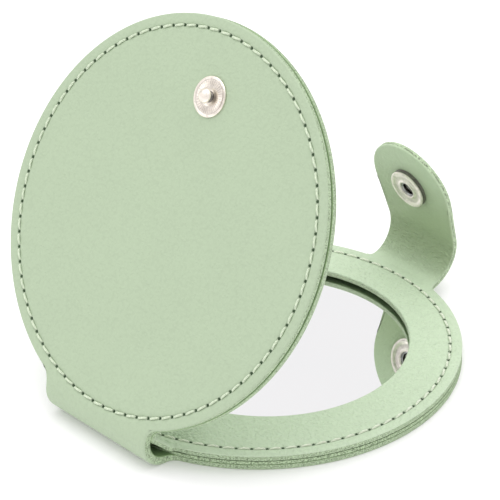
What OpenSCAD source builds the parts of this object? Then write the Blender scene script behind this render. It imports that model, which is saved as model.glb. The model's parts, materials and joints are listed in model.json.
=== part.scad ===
/* [Panels] */
// Radius of the base disc and of the cover disc
disc_r = 40; // [34:0.5:60]
// Thickness of the outer leather, which runs from the base round the fold to the cover
outer_t = 1.2; // [0.9:0.05:2]
// Thickness of the inner leather, which is the mirror's frame, the lining and the strap
inner_t = 1.25; // [1:0.05:2]
// Thickness of the card that stiffens the cover
card_t = 0.35; // [0.3:0.05:1]
// Inset of that card from the cover's edge
card_inset = 0.8; // [0.4:0.1:2]
// Gap between the mirror's frame and the lining when the case is shut
shut_gap = 0.5; // [0.4:0.05:1.5]
// Distance by which the shut cover sits nearer the fold than the base does
cover_shift = 0.5; // [0:0.1:1]

/* [Fold] */
// Angle at which the cover stands open from shut
open_angle = 60.4; // [40:0.1:80]
// Distance of the fold's axis beyond the base disc's edge
fold_overhang = 2.7; // [2.2:0.1:4]
// Width of the fold across both discs
fold_w = 30; // [20:1:40]
// Radius of the hollow corners between the fold and the discs
neck_r = 2.5; // [1:0.1:4]
// Distance from the disc's edge at which the frame's leather leaves the board
lift_inset = 1.6; // [1.5:0.1:2]
// Radius of the bend in which that leather starts to climb, as a share of the climb's run
climb_bend_share = 0.5; // [0.3:0.05:0.7]
// Distance from the cover's edge at which the lining turns into the fold
lining_inset = 0.9; // [0.6:0.1:1.4]
// Seam left where a piece that flexes meets the one that it moves with
seam_gap = 0.04; // [0.02:0.01:0.1]

/* [Mirror] */
// Width of the mirror's frame at the strap, where it is narrowest
frame_w = 9.8; // [8:0.1:14]
// Distance of the window's centre from the base's, towards the strap
window_shift = 2.3; // [0:0.1:4]
// Width of the mirror's rim that the frame covers
mirror_lap = 2.1; // [1.5:0.1:3.5]
// Thickness of the glass
glass_t = 0.7; // [0.5:0.05:1.5]
// Thickness of the silvering and its paint on the back of the glass
silver_t = 0.05; // [0.04:0.01:0.1]
// Thickness of the adhesive disc under the mirror
tape_t = 0.1; // [0.05:0.01:0.3]
// Inset of the adhesive disc from the mirror's edge
tape_inset = 1.5; // [0.5:0.1:5]
// Clearance round the mirror in its pocket
mirror_play = 0.25; // [0.1:0.05:0.5]
// Width of the ground bevel on the glass
glass_bevel = 0.12; // [0.05:0.01:0.2]

/* [Stitching] */
// Distance of the stitch line from the edge of each disc
stitch_inset = 2.4; // [2.2:0.1:3]
// Distance from one stitch hole to the next
stitch_pitch = 3; // [2.5:0.1:5]
// Gap between the ends of two stitches, over the hole
stitch_break = 0.6; // [0.4:0.05:1]
// Diameter of the thread
thread_d = 0.5; // [0.4:0.05:0.7]
// Depth to which the stitches sink in the leather's face
stitch_sink = 0.32; // [0.3:0.01:0.4]
// Depth of the channel that keeps the stitches off the table
under_channel = 0.6; // [0.5:0.05:0.8]
// Clearance beside the thread in its channel
thread_play = 0.1; // [0.05:0.01:0.12]

/* [Strap] */
// Width of the strap where it leaves the base
strap_w = 17.2; // [12:0.2:24]
// Radius of the strap's round end
strap_end_r = 10.3; // [8.8:0.1:14]
// Radius of the bend at the strap's root, on its inner face
bend_r = 6.5; // [5:0.1:9]
// Angle through which that bend turns the strap
bend_angle = 106; // [90:1:120]
// Straight length from the bend to the centre of the round end
strap_reach = 10.9; // [8:0.1:20]
// Share of the round end's radius to which the flaring sides would be tangent
flare_share = 0.995; // [0.98:0.005:0.995]
// Thickness of the strap's inner layer
facing_t = 0.65; // [0.4:0.05:0.8]

/* [Snap] */
// Diameter of the stud's flange and of the socket
snap_d = 8; // [6:0.1:10]
// Distance of the stud from the cover's centre
stud_reach = 25.4; // [15:0.1:30]
// Thickness of the stud's flange
flange_t = 0.3; // [0.2:0.05:0.5]
// Height of the raised rim on that flange
rim_h = 0.2; // [0.1:0.05:0.3]
// Width of that rim
rim_w = 0.55; // [0.4:0.05:1]
// Diameter of the stud's domed head
head_d = 2.5; // [2:0.05:2.55]
// Diameter of the waist under the head
waist_d = 1.6; // [1.4:0.05:1.8]
// Height of the stud above the leather
stud_h = 2.3; // [1.9:0.05:2.4]
// Height of the head alone
head_h = 1; // [0.7:0.05:1.1]
// Height of the socket above the strap's inner face
socket_h = 1.2; // [1.1:0.05:1.8]
// Diameter of the socket's mouth
mouth_d = 3; // [2.9:0.05:3.4]
// Diameter of the spring's wire
spring_wire_d = 0.4; // [0.3:0.02:0.42]
// Clearance of the spring round the stud's head
spring_play = 0.05; // [0.02:0.01:0.08]
// Diameter of the cap on the strap's outer face
cap_d = 10; // [8:0.1:12]
// Height of the cap's dome
cap_h = 0.9; // [0.6:0.05:1.2]
// Outer diameter of the cap's hollow post
cap_post_d = 3.8; // [3.6:0.05:4.2]
// Wall of that post
cap_post_wall = 0.4; // [0.3:0.05:0.45]
// Depth to which the post enters the socket
post_grip = 0.25; // [0.15:0.05:0.3]
// Diameter of the rivet's flat head inside the cover
rivet_head_d = 5.6; // [4:0.1:7]
// Thickness of that head
rivet_head_t = 0.25; // [0.15:0.05:0.28]
// Diameter of the rivet's shank
rivet_shank_d = 0.9; // [0.7:0.05:1]
// Length of the shank inside the stud
shank_grip = 1.1; // [0.6:0.1:1.3]
// Clearance of metal in leather, card and metal
snap_play = 0.05; // [0.02:0.01:0.08]

/* [Hidden] */
$fn = 128;

leather_green = "#C1D2B5";
frame_green = "#C9DCC0";
thread_green = "#D7EBCD";
card_grey = "#B9B2A2";
nickel = "#C9C8C6";

// Overrun of every cut past the face that it opens
over = 1;
// Steps in which a drawn arc is taken
arc_steps = 16;

// Heights of the faces, from the table up
board_z = outer_t;
board_t = tape_t + silver_t + glass_t;
frame_z = board_z + board_t;
base_h = frame_z + inner_t;
lining_z = base_h + shut_gap;
card_z = lining_z + inner_t;
cover_z = card_z + card_t;
shut_h = cover_z + outer_t;

// The fold's axis, and the loop of outer leather round it
fold_y = -(disc_r + fold_overhang);
fold_z = shut_h / 2;
tab_end = disc_r + cover_shift;
loop_r = fold_z + (-fold_y - tab_end) * tan(open_angle / 2);
loop_inner_r = loop_r - outer_t;
lift_y = disc_r - lift_inset;

// The crease where the inner leather turns from the fold into the lining
crease_from_axis = [-fold_y - cover_shift - disc_r + lining_inset, lining_z - fold_z];
crease = [fold_y + crease_from_axis[0] * cos(open_angle) - crease_from_axis[1] * sin(open_angle),
          fold_z + crease_from_axis[0] * sin(open_angle) + crease_from_axis[1] * cos(open_angle)];
crease_rise = crease[1] - base_h;
// The inner leather climbs at this slope, so that its bend starts where it leaves the board
climb_run = -lift_y - crease[0];
climb_bend_r = climb_run * climb_bend_share;
climb_len = sqrt(pow(climb_run, 2) + pow(crease_rise, 2) - 2 * climb_bend_r * crease_rise);
climb_angle = 2 * atan2(crease_rise, climb_run + climb_len);

// Mirror
window_r = disc_r - frame_w - window_shift;
mirror_r = window_r + mirror_lap;

// Stitch ring
stitch_r = disc_r - stitch_inset;
stitch_count = round(2 * PI * stitch_r / stitch_pitch);
stitch_step = 360 / stitch_count;
stitch_len = 2 * stitch_r * sin(stitch_step / 2) - stitch_break;
channel_w = thread_d + 2 * thread_play;

// Strap
backing_t = inner_t - facing_t;
flare_len = bend_r * sin(bend_angle) + strap_reach;
flare_end_r = strap_end_r * flare_share;
flare_angle = asin(flare_end_r / norm([strap_w / 2, flare_len])) - atan2(strap_w / 2, flare_len);

// Snap
snap_r = snap_d / 2;
head_r = head_d / 2;
waist_r = waist_d / 2;
mouth_r = mouth_d / 2;
post_hole_r = cap_post_d / 2 + snap_play;
spring_ring_r = head_r + spring_play + spring_wire_d / 2;
spring_slot = spring_wire_d + 2 * snap_play;

// Profiles in the YZ plane, with their thickness or sweep along X
module sideways() {
    rotate([90, 0, 90]) children();
}

// Puts what is drawn on the shut case where the open cover stands
module cover_pose() {
    translate([0, fold_y, fold_z])
        rotate([open_angle, 0, 0])
            translate([0, -fold_y, -fold_z])
                children();
}

// The strap's own frame: origin on its inner face at the bend's end, Z along it, Y outwards
module on_strap() {
    translate([0, lift_y, base_h + bend_r])
        rotate([bend_angle - 90, 0, 0])
            translate([0, bend_r, 0])
                children();
}

// A frame on the strap's inner face at the socket, with Z pointing inwards
module at_socket() {
    on_strap()
        translate([0, 0, strap_reach])
            rotate([90, 0, 0])
                children();
}

// A frame on the cover's outer face at the stud, with Z pointing outwards
module at_stud() {
    cover_pose()
        translate([0, stud_reach - cover_shift, shut_h])
            children();
}

// Outline of a disc with its neck, cut straight across at the given distance from its centre
module panel_outline(end) {
    neck_centre = [fold_w / 2 + neck_r, -sqrt(pow(disc_r + neck_r, 2) - pow(fold_w / 2 + neck_r, 2))];
    touch = neck_centre * disc_r / (disc_r + neck_r);
    intersection() {
        union() {
            circle(disc_r);
            translate([-fold_w / 2, -disc_r - over])
                square([fold_w, disc_r + over]);
            for (side = [-1, 1])
                scale([side, 1])
                    difference() {
                        polygon([[fold_w / 2 - over, neck_centre[1]], neck_centre, touch,
                                 [fold_w / 2 - over, touch[1]]]);
                        translate(neck_centre)
                            circle(neck_r);
                    }
        }
        translate([-disc_r - over, -end])
            square([2 * (disc_r + over), end + disc_r + over]);
    }
}

// Channel along the stitch line, open at the bottom, as deep as given
module stitch_channel(depth) {
    rotate_extrude()
        translate([stitch_r - channel_w / 2, -over])
            square([channel_w, depth + over]);
}

// Ring of stitches whose thread is centred on the plane z = 0
module stitch_ring() {
    for (i = [0 : stitch_count - 1])
        rotate((i + 1 / 2) * stitch_step)
            translate([stitch_r, stitch_len / 2, 0])
                rotate([90, 0, 0])
                    cylinder(d = thread_d, h = stitch_len, $fn = 16);
}

module base_outer_leather() {
    color(leather_green)
        difference() {
            linear_extrude(outer_t)
                panel_outline(tab_end);
            stitch_channel(under_channel);
        }
}

module base_board() {
    color(card_grey)
        translate([0, 0, board_z])
            difference() {
                linear_extrude(board_t)
                    intersection() {
                        circle(disc_r);
                        translate([-disc_r, -lift_y])
                            square([2 * disc_r, lift_y + disc_r]);
                    }
                translate([0, window_shift, -over])
                    cylinder(r = mirror_r + mirror_play, h = board_t + 2 * over);
            }
}

module mirror_tape() {
    color("#E6E3DA")
        translate([0, window_shift, board_z])
            cylinder(r = mirror_r - tape_inset, h = tape_t);
}

module mirror_silvering() {
    color("#DADDE0")
        translate([0, window_shift, board_z + tape_t])
            cylinder(r = mirror_r, h = silver_t);
}

module mirror_glass() {
    color("#E4EAEE", 0.5)
        translate([0, window_shift, board_z + tape_t + silver_t])
            rotate_extrude()
                polygon([[0, 0], [mirror_r, 0], [mirror_r, glass_t - glass_bevel],
                         [mirror_r - glass_bevel, glass_t], [0, glass_t]]);
}

module mirror_frame_leather() {
    color(frame_green)
        difference() {
            translate([0, 0, frame_z])
                linear_extrude(inner_t)
                    difference() {
                        panel_outline(lift_y);
                        translate([0, window_shift])
                            circle(window_r);
                        translate([-strap_w / 2, lift_y])
                            square([strap_w, lift_inset + over]);
                    }
            translate([0, 0, base_h])
                mirror([0, 0, 1])
                    stitch_channel(stitch_sink);
        }
}

module base_thread() {
    color(thread_green) {
        translate([0, 0, base_h - stitch_sink + thread_d / 2])
            stitch_ring();
        translate([0, 0, under_channel - thread_d / 2])
            stitch_ring();
    }
}

// Loop of outer leather from the base's tab up to the cover's
module fold_outer_leather() {
    seam = seam_gap / loop_inner_r * 180 / PI;
    color(leather_green)
        translate([-fold_w / 2, 0, 0])
            sideways()
                translate([-tab_end, loop_r])
                    rotate(90 + open_angle + seam)
                        rotate_extrude(angle = 180 - open_angle - seam)
                            translate([loop_inner_r, 0])
                                square([outer_t, fold_w]);
}

// Flat sector of a ring, from one angle to another, less than half a turn
module ring_sector(inner_r, outer_r, from_angle, to_angle) {
    reach = outer_r / cos((to_angle - from_angle) / 4) + over;
    middle = (from_angle + to_angle) / 2;
    difference() {
        intersection() {
            circle(outer_r);
            polygon([[0, 0], for (a = [from_angle, middle, to_angle]) reach * [cos(a), sin(a)]]);
        }
        if (inner_r > 0)
            circle(inner_r);
    }
}

// Prism across the whole fold, of a profile in the YZ plane
module fold_prism() {
    translate([-fold_w / 2, 0, 0])
        sideways()
            linear_extrude(fold_w)
                children();
}

// Points of an arc from one angle to another
function arc(centre, radius, from_angle, to_angle) =
    [for (i = [0 : arc_steps]) let (a = from_angle + (to_angle - from_angle) * i / arc_steps)
        centre + radius * [cos(a), sin(a)]];

// Inner leather that climbs from the frame to the crease and turns into the lining
module fold_inner_leather() {
    seam = seam_gap / inner_t * 180 / PI;
    bend = [-lift_y, base_h + climb_bend_r];
    color(frame_green)
        fold_prism()
            polygon(concat(arc(bend, climb_bend_r, -90, -90 - climb_angle),
                           [crease],
                           arc(crease, inner_t, 90 + open_angle + seam, 270 - climb_angle),
                           arc(bend, climb_bend_r + inner_t, -90 - climb_angle, -90)));
}

module cover_outer_leather() {
    color(leather_green)
        cover_pose()
            translate([0, -cover_shift, cover_z])
                difference() {
                    linear_extrude(outer_t)
                        panel_outline(disc_r);
                    translate([0, 0, outer_t])
                        mirror([0, 0, 1])
                            stitch_channel(stitch_sink);
                    translate([0, stud_reach, -over])
                        cylinder(d = rivet_shank_d + 2 * snap_play, h = outer_t + 2 * over, $fn = 32);
                }
}

module cover_card() {
    color(card_grey)
        cover_pose()
            translate([0, -cover_shift, card_z])
                difference() {
                    cylinder(r = disc_r - card_inset, h = card_t);
                    translate([0, stud_reach, -over])
                        cylinder(d = rivet_head_d + 2 * snap_play, h = card_t + 2 * over);
                    translate([-disc_r, -disc_r - lining_inset - card_inset, -over])
                        cube([2 * disc_r, 2 * (lining_inset + card_inset), card_t + 2 * over]);
                }
}

module cover_lining() {
    color(frame_green)
        cover_pose()
            translate([0, -cover_shift, lining_z])
                difference() {
                    linear_extrude(inner_t)
                        panel_outline(disc_r - lining_inset);
                    stitch_channel(stitch_sink);
                }
}

module cover_thread() {
    color(thread_green)
        cover_pose()
            translate([0, -cover_shift, 0]) {
                translate([0, 0, shut_h - stitch_sink + thread_d / 2])
                    stitch_ring();
                translate([0, 0, lining_z + stitch_sink - thread_d / 2])
                    stitch_ring();
            }
}

module snap_stud() {
    neck_z = stud_h - head_h;
    dome_h = head_h / 2;
    color(nickel)
        at_stud()
            difference() {
                union() {
                    cylinder(r = snap_r, h = flange_t);
                    difference() {
                        cylinder(r = snap_r, h = flange_t + rim_h);
                        cylinder(r = snap_r - rim_w, h = flange_t + rim_h + over);
                    }
                    cylinder(r = waist_r, h = neck_z + dome_h);
                    translate([0, 0, neck_z])
                        cylinder(r1 = waist_r, r2 = head_r, h = dome_h);
                    translate([0, 0, neck_z + dome_h])
                        intersection() {
                            cylinder(r = head_r, h = dome_h);
                            translate([0, 0, dome_h - head_r])
                                sphere(norm([head_r, head_r - dome_h]), $fn = 64);
                        }
                }
                translate([0, 0, -over])
                    cylinder(d = rivet_shank_d + 2 * snap_play, h = shank_grip + over + snap_play, $fn = 32);
            }
}

module stud_rivet() {
    color(nickel)
        at_stud() {
            translate([0, 0, -outer_t - rivet_head_t])
                cylinder(d = rivet_head_d, h = rivet_head_t);
            translate([0, 0, -outer_t - rivet_head_t])
                cylinder(d = rivet_shank_d, h = outer_t + rivet_head_t + shank_grip, $fn = 32);
        }
}

// Flat outline of the strap in its own frame: it flares to its round end
module strap_outline() {
    edge = flare_end_r * [cos(flare_angle), -sin(flare_angle)];
    root = -bend_r * sin(bend_angle);
    below = root - bend_r - inner_t;
    translate([0, strap_reach])
        circle(strap_end_r);
    polygon([[-strap_w / 2, below], [strap_w / 2, below], [strap_w / 2, root],
             [edge[0], strap_reach + edge[1]], [0, strap_reach], [-edge[0], strap_reach + edge[1]],
             [-strap_w / 2, root]]);
}

// One layer of the strap's bend, which flexes when the strap is moved
module strap_bend(depth, thickness) {
    span = 2 * (strap_end_r + over);
    intersection() {
        translate([-span / 2, 0, 0])
            sideways()
                linear_extrude(span)
                    translate([lift_y, base_h + bend_r])
                        ring_sector(bend_r + depth, bend_r + depth + thickness, -90, bend_angle - 90);
        on_strap()
            translate([0, inner_t + over, 0])
                rotate([90, 0, 0])
                    linear_extrude(2 * (bend_r + inner_t) + over)
                        strap_outline();
    }
}

// The same layer beyond the bend, with a hole for the cap's post
module strap_end(depth, thickness) {
    difference() {
        on_strap()
            translate([0, depth + thickness, 0])
                rotate([90, 0, 0])
                    linear_extrude(thickness)
                        intersection() {
                            strap_outline();
                            translate([-strap_end_r - over, seam_gap])
                                square([2 * (strap_end_r + over), strap_reach + strap_end_r + over]);
                        }
        at_socket()
            translate([0, 0, -inner_t - over])
                cylinder(r = post_hole_r, h = inner_t + 2 * over);
    }
}

module strap_root_facing() {
    color(frame_green)
        strap_bend(0, facing_t);
}

module strap_root_backing() {
    color(leather_green)
        strap_bend(facing_t, backing_t);
}

module strap_facing() {
    color(frame_green)
        strap_end(0, facing_t);
}

module strap_backing() {
    color(leather_green)
        strap_end(facing_t, backing_t);
}

module snap_socket() {
    slot_z = (socket_h + post_grip - spring_slot) / 2;
    lip = rim_h;
    color(nickel)
        at_socket()
            difference() {
                rotate_extrude()
                    polygon([[0, 0], [snap_r, 0], [snap_r, socket_h - lip], [snap_r - lip, socket_h],
                             [snap_r - rim_w, socket_h], [snap_r - rim_w - lip, socket_h - lip / 2],
                             [mouth_r + rim_w, socket_h - lip / 2], [mouth_r + lip, socket_h], [0, socket_h]]);
                translate([0, 0, -over])
                    cylinder(r = mouth_r, h = socket_h + 2 * over);
                translate([0, 0, -over])
                    cylinder(r = post_hole_r, h = post_grip + snap_play + over);
                translate([0, 0, slot_z])
                    cylinder(r = spring_ring_r + spring_wire_d, h = spring_slot);
            }
}

// Split ring of wire in the socket's slot, which grips the stud under its head
module socket_spring() {
    slot_z = (socket_h + post_grip - spring_slot) / 2;
    spring_split = 40;
    color(nickel)
        at_socket()
            translate([0, 0, slot_z + spring_slot / 2])
                rotate_extrude(angle = 360 - spring_split)
                    translate([spring_ring_r, 0])
                        circle(d = spring_wire_d, $fn = 24);
}

module snap_cap() {
    dome_r = (pow(cap_d / 2, 2) + pow(cap_h, 2)) / (2 * cap_h);
    color(nickel)
        at_socket()
            translate([0, 0, -inner_t]) {
                difference() {
                    intersection() {
                        translate([0, 0, dome_r - cap_h])
                            sphere(dome_r, $fn = 180);
                        translate([0, 0, -cap_h - over])
                            cylinder(d = cap_d, h = cap_h + over);
                    }
                    translate([0, 0, -cap_h / 2])
                        cylinder(d = cap_post_d - 2 * cap_post_wall, h = cap_h);
                }
                difference() {
                    cylinder(d = cap_post_d, h = inner_t + post_grip);
                    translate([0, 0, -over])
                        cylinder(d = cap_post_d - 2 * cap_post_wall, h = inner_t + post_grip + 2 * over);
                }
            }
}

base_outer_leather();
base_board();
mirror_tape();
mirror_silvering();
mirror_glass();
mirror_frame_leather();
base_thread();
fold_outer_leather();
fold_inner_leather();
cover_outer_leather();
cover_card();
cover_lining();
cover_thread();
snap_stud();
stud_rivet();
strap_root_facing();
strap_root_backing();
strap_facing();
strap_backing();
snap_socket();
socket_spring();
snap_cap();
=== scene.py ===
"""Looks of a round folding pocket mirror in stitched leather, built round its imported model.

Sizes are in millimetres, as in the model's source, and become metres where Blender needs them.
X runs along the fold, Y from the fold to the strap and Z up from the table.
"""

import json
import logging
import math
from dataclasses import dataclass, field
from enum import Enum
from typing import Callable, Optional, Sequence

import bpy
import numpy as np
from mathutils import Matrix, Vector

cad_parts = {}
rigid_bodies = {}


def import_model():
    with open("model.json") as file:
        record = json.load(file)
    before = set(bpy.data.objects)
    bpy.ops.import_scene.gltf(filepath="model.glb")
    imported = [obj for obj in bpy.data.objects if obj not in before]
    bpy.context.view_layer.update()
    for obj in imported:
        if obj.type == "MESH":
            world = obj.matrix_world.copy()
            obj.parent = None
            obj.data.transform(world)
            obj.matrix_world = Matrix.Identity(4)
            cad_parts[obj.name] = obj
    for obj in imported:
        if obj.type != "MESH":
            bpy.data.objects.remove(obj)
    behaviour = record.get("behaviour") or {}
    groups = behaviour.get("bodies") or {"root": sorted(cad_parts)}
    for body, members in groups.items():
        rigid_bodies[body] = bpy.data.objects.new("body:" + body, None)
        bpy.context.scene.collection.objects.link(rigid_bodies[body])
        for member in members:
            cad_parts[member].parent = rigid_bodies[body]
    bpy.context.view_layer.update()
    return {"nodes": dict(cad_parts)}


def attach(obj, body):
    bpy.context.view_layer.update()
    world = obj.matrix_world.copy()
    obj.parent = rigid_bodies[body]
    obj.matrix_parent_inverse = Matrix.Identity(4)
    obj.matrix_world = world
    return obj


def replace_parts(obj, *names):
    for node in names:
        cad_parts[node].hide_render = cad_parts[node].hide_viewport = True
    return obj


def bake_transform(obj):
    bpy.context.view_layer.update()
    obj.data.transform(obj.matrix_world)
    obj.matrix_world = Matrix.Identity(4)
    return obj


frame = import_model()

MM = 0.001
LOG = logging.getLogger("pocket_mirror")
Colour = tuple[float, float, float]
Point = tuple[float, float]
Piece = bpy.types.Object
Material = bpy.types.Material
Signal = bpy.types.NodeSocket
Test = Callable[[np.ndarray], np.ndarray]
GRAIN_SLOT, BACK_SLOT, EDGE_SLOT = 0, 1, 2


class Element(Enum):
    """What a selection in edit mode holds."""

    VERTS = "VERT"
    EDGES = "EDGE"
    FACES = "FACE"


class Side(Enum):
    """The side of a path, seen along it, on which a leather's thickness lies."""

    LEFT = 1.0
    RIGHT = -1.0


# Modelling by operators


def to_object_mode() -> None:
    """Leaves edit mode."""
    if bpy.context.mode != "OBJECT":
        bpy.ops.object.mode_set(mode="OBJECT")


def only(piece: Piece) -> Piece:
    """Makes one piece the selected and active one.

    Args:
        piece: The object to work on.

    Returns:
        The same object.
    """
    to_object_mode()
    bpy.ops.object.select_all(action="DESELECT")
    piece.select_set(True)
    bpy.context.view_layer.objects.active = piece
    return piece


def vertex_places(piece: Piece) -> np.ndarray:
    """Reads a piece's vertices.

    Args:
        piece: The object to read, in object mode.

    Returns:
        One row of x, y and z in millimetres for each vertex.
    """
    places = np.zeros(len(piece.data.vertices) * 3, np.float64)
    piece.data.vertices.foreach_get("co", places)
    return places.reshape(-1, 3) / MM


def move_vertices(piece: Piece, places: np.ndarray) -> None:
    """Puts a piece's vertices where an array says.

    Args:
        piece: The object to change, in object mode.
        places: One row of x, y and z in millimetres for each vertex.
    """
    piece.data.vertices.foreach_set("co", (places * MM).astype(np.float32).ravel())
    piece.data.update()


def choose(piece: Piece, what: Element, chosen: Optional[np.ndarray] = None) -> None:
    """Enters edit mode on a piece with only the given elements selected.

    Args:
        piece: The object to work on.
        what: The kind of element.
        chosen: True for each vertex, edge or face that is wanted, or None for all.
    """
    only(piece)
    mesh = piece.data
    in_vertices = np.zeros(len(mesh.vertices), bool)
    in_edges = np.zeros(len(mesh.edges), bool)
    in_faces = np.zeros(len(mesh.polygons), bool)
    if what is Element.VERTS:
        in_vertices |= True if chosen is None else chosen
    if what is Element.EDGES:
        in_edges |= chosen
        in_vertices[edge_ends(piece)[in_edges].ravel()] = True
    if what is Element.FACES:
        in_faces |= True if chosen is None else chosen
        for face in mesh.polygons:
            if in_faces[face.index]:
                in_vertices[list(face.vertices)] = True
        in_edges = in_vertices[edge_ends(piece)].all(axis=1)
    mesh.vertices.foreach_set("select", in_vertices)
    mesh.edges.foreach_set("select", in_edges)
    mesh.polygons.foreach_set("select", in_faces)
    bpy.context.tool_settings.mesh_select_mode = [what is kind for kind in Element]
    bpy.ops.object.mode_set(mode="EDIT")


def edge_ends(piece: Piece) -> np.ndarray:
    """Lists the ends of a piece's edges.

    Args:
        piece: The object to read, in object mode.

    Returns:
        The two vertex numbers of each edge.
    """
    ends = np.zeros(len(piece.data.edges) * 2, np.int32)
    piece.data.edges.foreach_get("vertices", ends)
    return ends.reshape(-1, 2)


def edge_middles(piece: Piece) -> np.ndarray:
    """Lists the middle of each edge of a piece, in millimetres."""
    return vertex_places(piece)[edge_ends(piece)].mean(axis=1)


def face_middles(piece: Piece) -> np.ndarray:
    """Lists the middle of each face of a piece, in millimetres."""
    return np.array([face.center for face in piece.data.polygons]) / MM


def faces_at_edges(piece: Piece) -> np.ndarray:
    """Counts the faces at each edge of a piece.

    Args:
        piece: The object to read, in object mode.

    Returns:
        A count for each edge: 1 on a sheet's border and 0 on an outline that isn't filled yet.
    """
    count = np.zeros(len(piece.data.edges), np.int32)
    loops = np.zeros(len(piece.data.loops), np.int32)
    piece.data.loops.foreach_get("edge_index", loops)
    np.add.at(count, loops, 1)
    return count


def weld(piece: Piece, reach: float = 0.004) -> None:
    """Merges vertices that lie close together.

    Args:
        piece: The piece to mend.
        reach: How close they lie, in millimetres.
    """
    choose(piece, Element.VERTS)
    bpy.ops.mesh.remove_doubles(threshold=reach * MM)
    to_object_mode()


def fill(piece: Piece, chosen: np.ndarray) -> None:
    """Fills the outlines that some edges make.

    Args:
        piece: The flat or open piece.
        chosen: True for each edge of an outline.
    """
    choose(piece, Element.EDGES, chosen)
    bpy.ops.mesh.edge_face_add()
    to_object_mode()


def join(first: Piece, *others: Piece) -> Piece:
    """Joins pieces into one.

    Args:
        first: The piece that takes in the others.
        others: The pieces that it takes in.

    Returns:
        The first piece.
    """
    only(first)
    for other in others:
        other.select_set(True)
    bpy.ops.object.join()
    return first


def clad(piece: Piece, *finishes: Material) -> None:
    """Gives a piece its materials.

    Args:
        piece: The object to finish.
        finishes: Its materials, a slot for each.
    """
    piece.data.materials.clear()
    for finish in finishes:
        piece.data.materials.append(finish)


def finish_mesh(piece: Piece, smooth_angle: float = 40.0) -> Piece:
    """Turns the faces outwards and shades the piece smooth up to an angle.

    Args:
        piece: A closed piece.
        smooth_angle: The sharpest bend, in degrees, that is still shaded smooth.

    Returns:
        The same object.
    """
    choose(piece, Element.VERTS)
    bpy.ops.mesh.normals_make_consistent(inside=False)
    only(piece)
    bpy.ops.object.shade_smooth_by_angle(angle=math.radians(smooth_angle))
    return piece


def apply_place(piece: Piece, place: Optional[Matrix] = None) -> Piece:
    """Moves a piece and puts its place into its mesh.

    Args:
        piece: The object to move.
        place: Where it goes, in metres, or None to leave it where it is.

    Returns:
        The same object, at the origin and unturned.
    """
    only(piece)
    if place is not None:
        piece.matrix_world = place @ piece.matrix_world
    bpy.ops.object.transform_apply(location=True, rotation=True, scale=True)
    return piece


def rings(name: str, profile: Sequence[Point], segments: int, shifts: Sequence[float] = ()) -> Piece:
    """Draws round loops one after another from a circle, each extruded from the last.

    Args:
        name: The new piece's name.
        profile: The radius and height of each loop, in order. A last radius of 0 closes the piece.
        segments: How many edges each loop has.
        shifts: How far along Y each loop's centre lies, or nothing if all are at 0.

    Returns:
        The new piece, in object mode.
    """
    to_object_mode()
    bpy.ops.object.select_all(action="DESELECT")
    centres = list(shifts) or [0.0] * len(profile)
    radius, height = profile[0]
    bpy.ops.mesh.primitive_circle_add(
        vertices=segments, radius=radius * MM, fill_type="NOTHING", location=(0, centres[0] * MM, height * MM)
    )
    piece = bpy.context.active_object
    piece.name = name
    bpy.ops.object.transform_apply(location=True, rotation=True, scale=True)
    bpy.context.tool_settings.mesh_select_mode = (False, True, False)
    bpy.ops.object.mode_set(mode="EDIT")
    bpy.ops.mesh.select_all(action="SELECT")
    for (next_radius, next_height), centre, last_centre in zip(profile[1:], centres[1:], centres):
        bpy.ops.mesh.extrude_region()
        move = (0, (centre - last_centre) * MM, (next_height - height) * MM)
        if next_radius == 0:
            bpy.ops.transform.translate(value=move)
            bpy.ops.mesh.merge(type="CENTER")
            break
        scale = next_radius / radius
        bpy.ops.transform.resize(value=(scale, scale, 1), center_override=(0, last_centre * MM, 0))
        bpy.ops.transform.translate(value=move)
        radius, height = next_radius, next_height
    to_object_mode()
    return piece


def grow_chain(piece: Piece, start: Point, points: Sequence[Point]) -> None:
    """Extrudes a vertex of a flat piece along a chain of points.

    Args:
        piece: The flat piece.
        start: Where the vertex to start from lies.
        points: The x and y of each new vertex, in order.
    """
    places = vertex_places(piece)
    near = np.argmin(np.hypot(places[:, 0] - start[0], places[:, 1] - start[1]))
    chosen = np.zeros(len(places), bool)
    chosen[near] = True
    choose(piece, Element.VERTS, chosen)
    last = places[near]
    for point in points:
        bpy.ops.mesh.extrude_region()
        bpy.ops.transform.translate(value=((point[0] - last[0]) * MM, (point[1] - last[1]) * MM, 0))
        last = point
    to_object_mode()


def cut_across(piece: Piece, places: Sequence[float], axis: int, within: Optional[Test] = None) -> None:
    """Cuts a flat piece along straight lines, so that it can bend there.

    Args:
        piece: The flat piece.
        places: Where each line crosses the axis, in millimetres.
        axis: 0 for lines of constant x and 1 for lines of constant y.
        within: A test of the faces' middles that limits the cuts, or None to cut all.
    """
    normal = np.eye(3)[axis]
    for place in places:
        choose(piece, Element.FACES, None if within is None else within(face_middles(piece)))
        bpy.ops.mesh.bisect(plane_co=list(normal * place * MM), plane_no=list(normal), threshold=0.0005 * MM)
        to_object_mode()


def thicken(piece: Piece, thickness: float) -> None:
    """Gives a flat leather its thickness below its grain side, with its own finish for each side.

    Args:
        piece: The flat sheet, with slots for the grain, the back and the cut edge.
        thickness: The leather's thickness.
    """
    only(piece)
    if np.mean([face.normal.z for face in piece.data.polygons]) < 0:
        choose(piece, Element.FACES)
        bpy.ops.mesh.flip_normals()
        to_object_mode()
    bpy.ops.object.modifier_add(type="SOLIDIFY")
    wall = piece.modifiers[-1]
    wall.thickness = thickness * MM
    wall.offset = -1
    wall.material_offset = BACK_SLOT
    wall.material_offset_rim = EDGE_SLOT
    bpy.ops.object.modifier_apply(modifier=wall.name)


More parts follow.
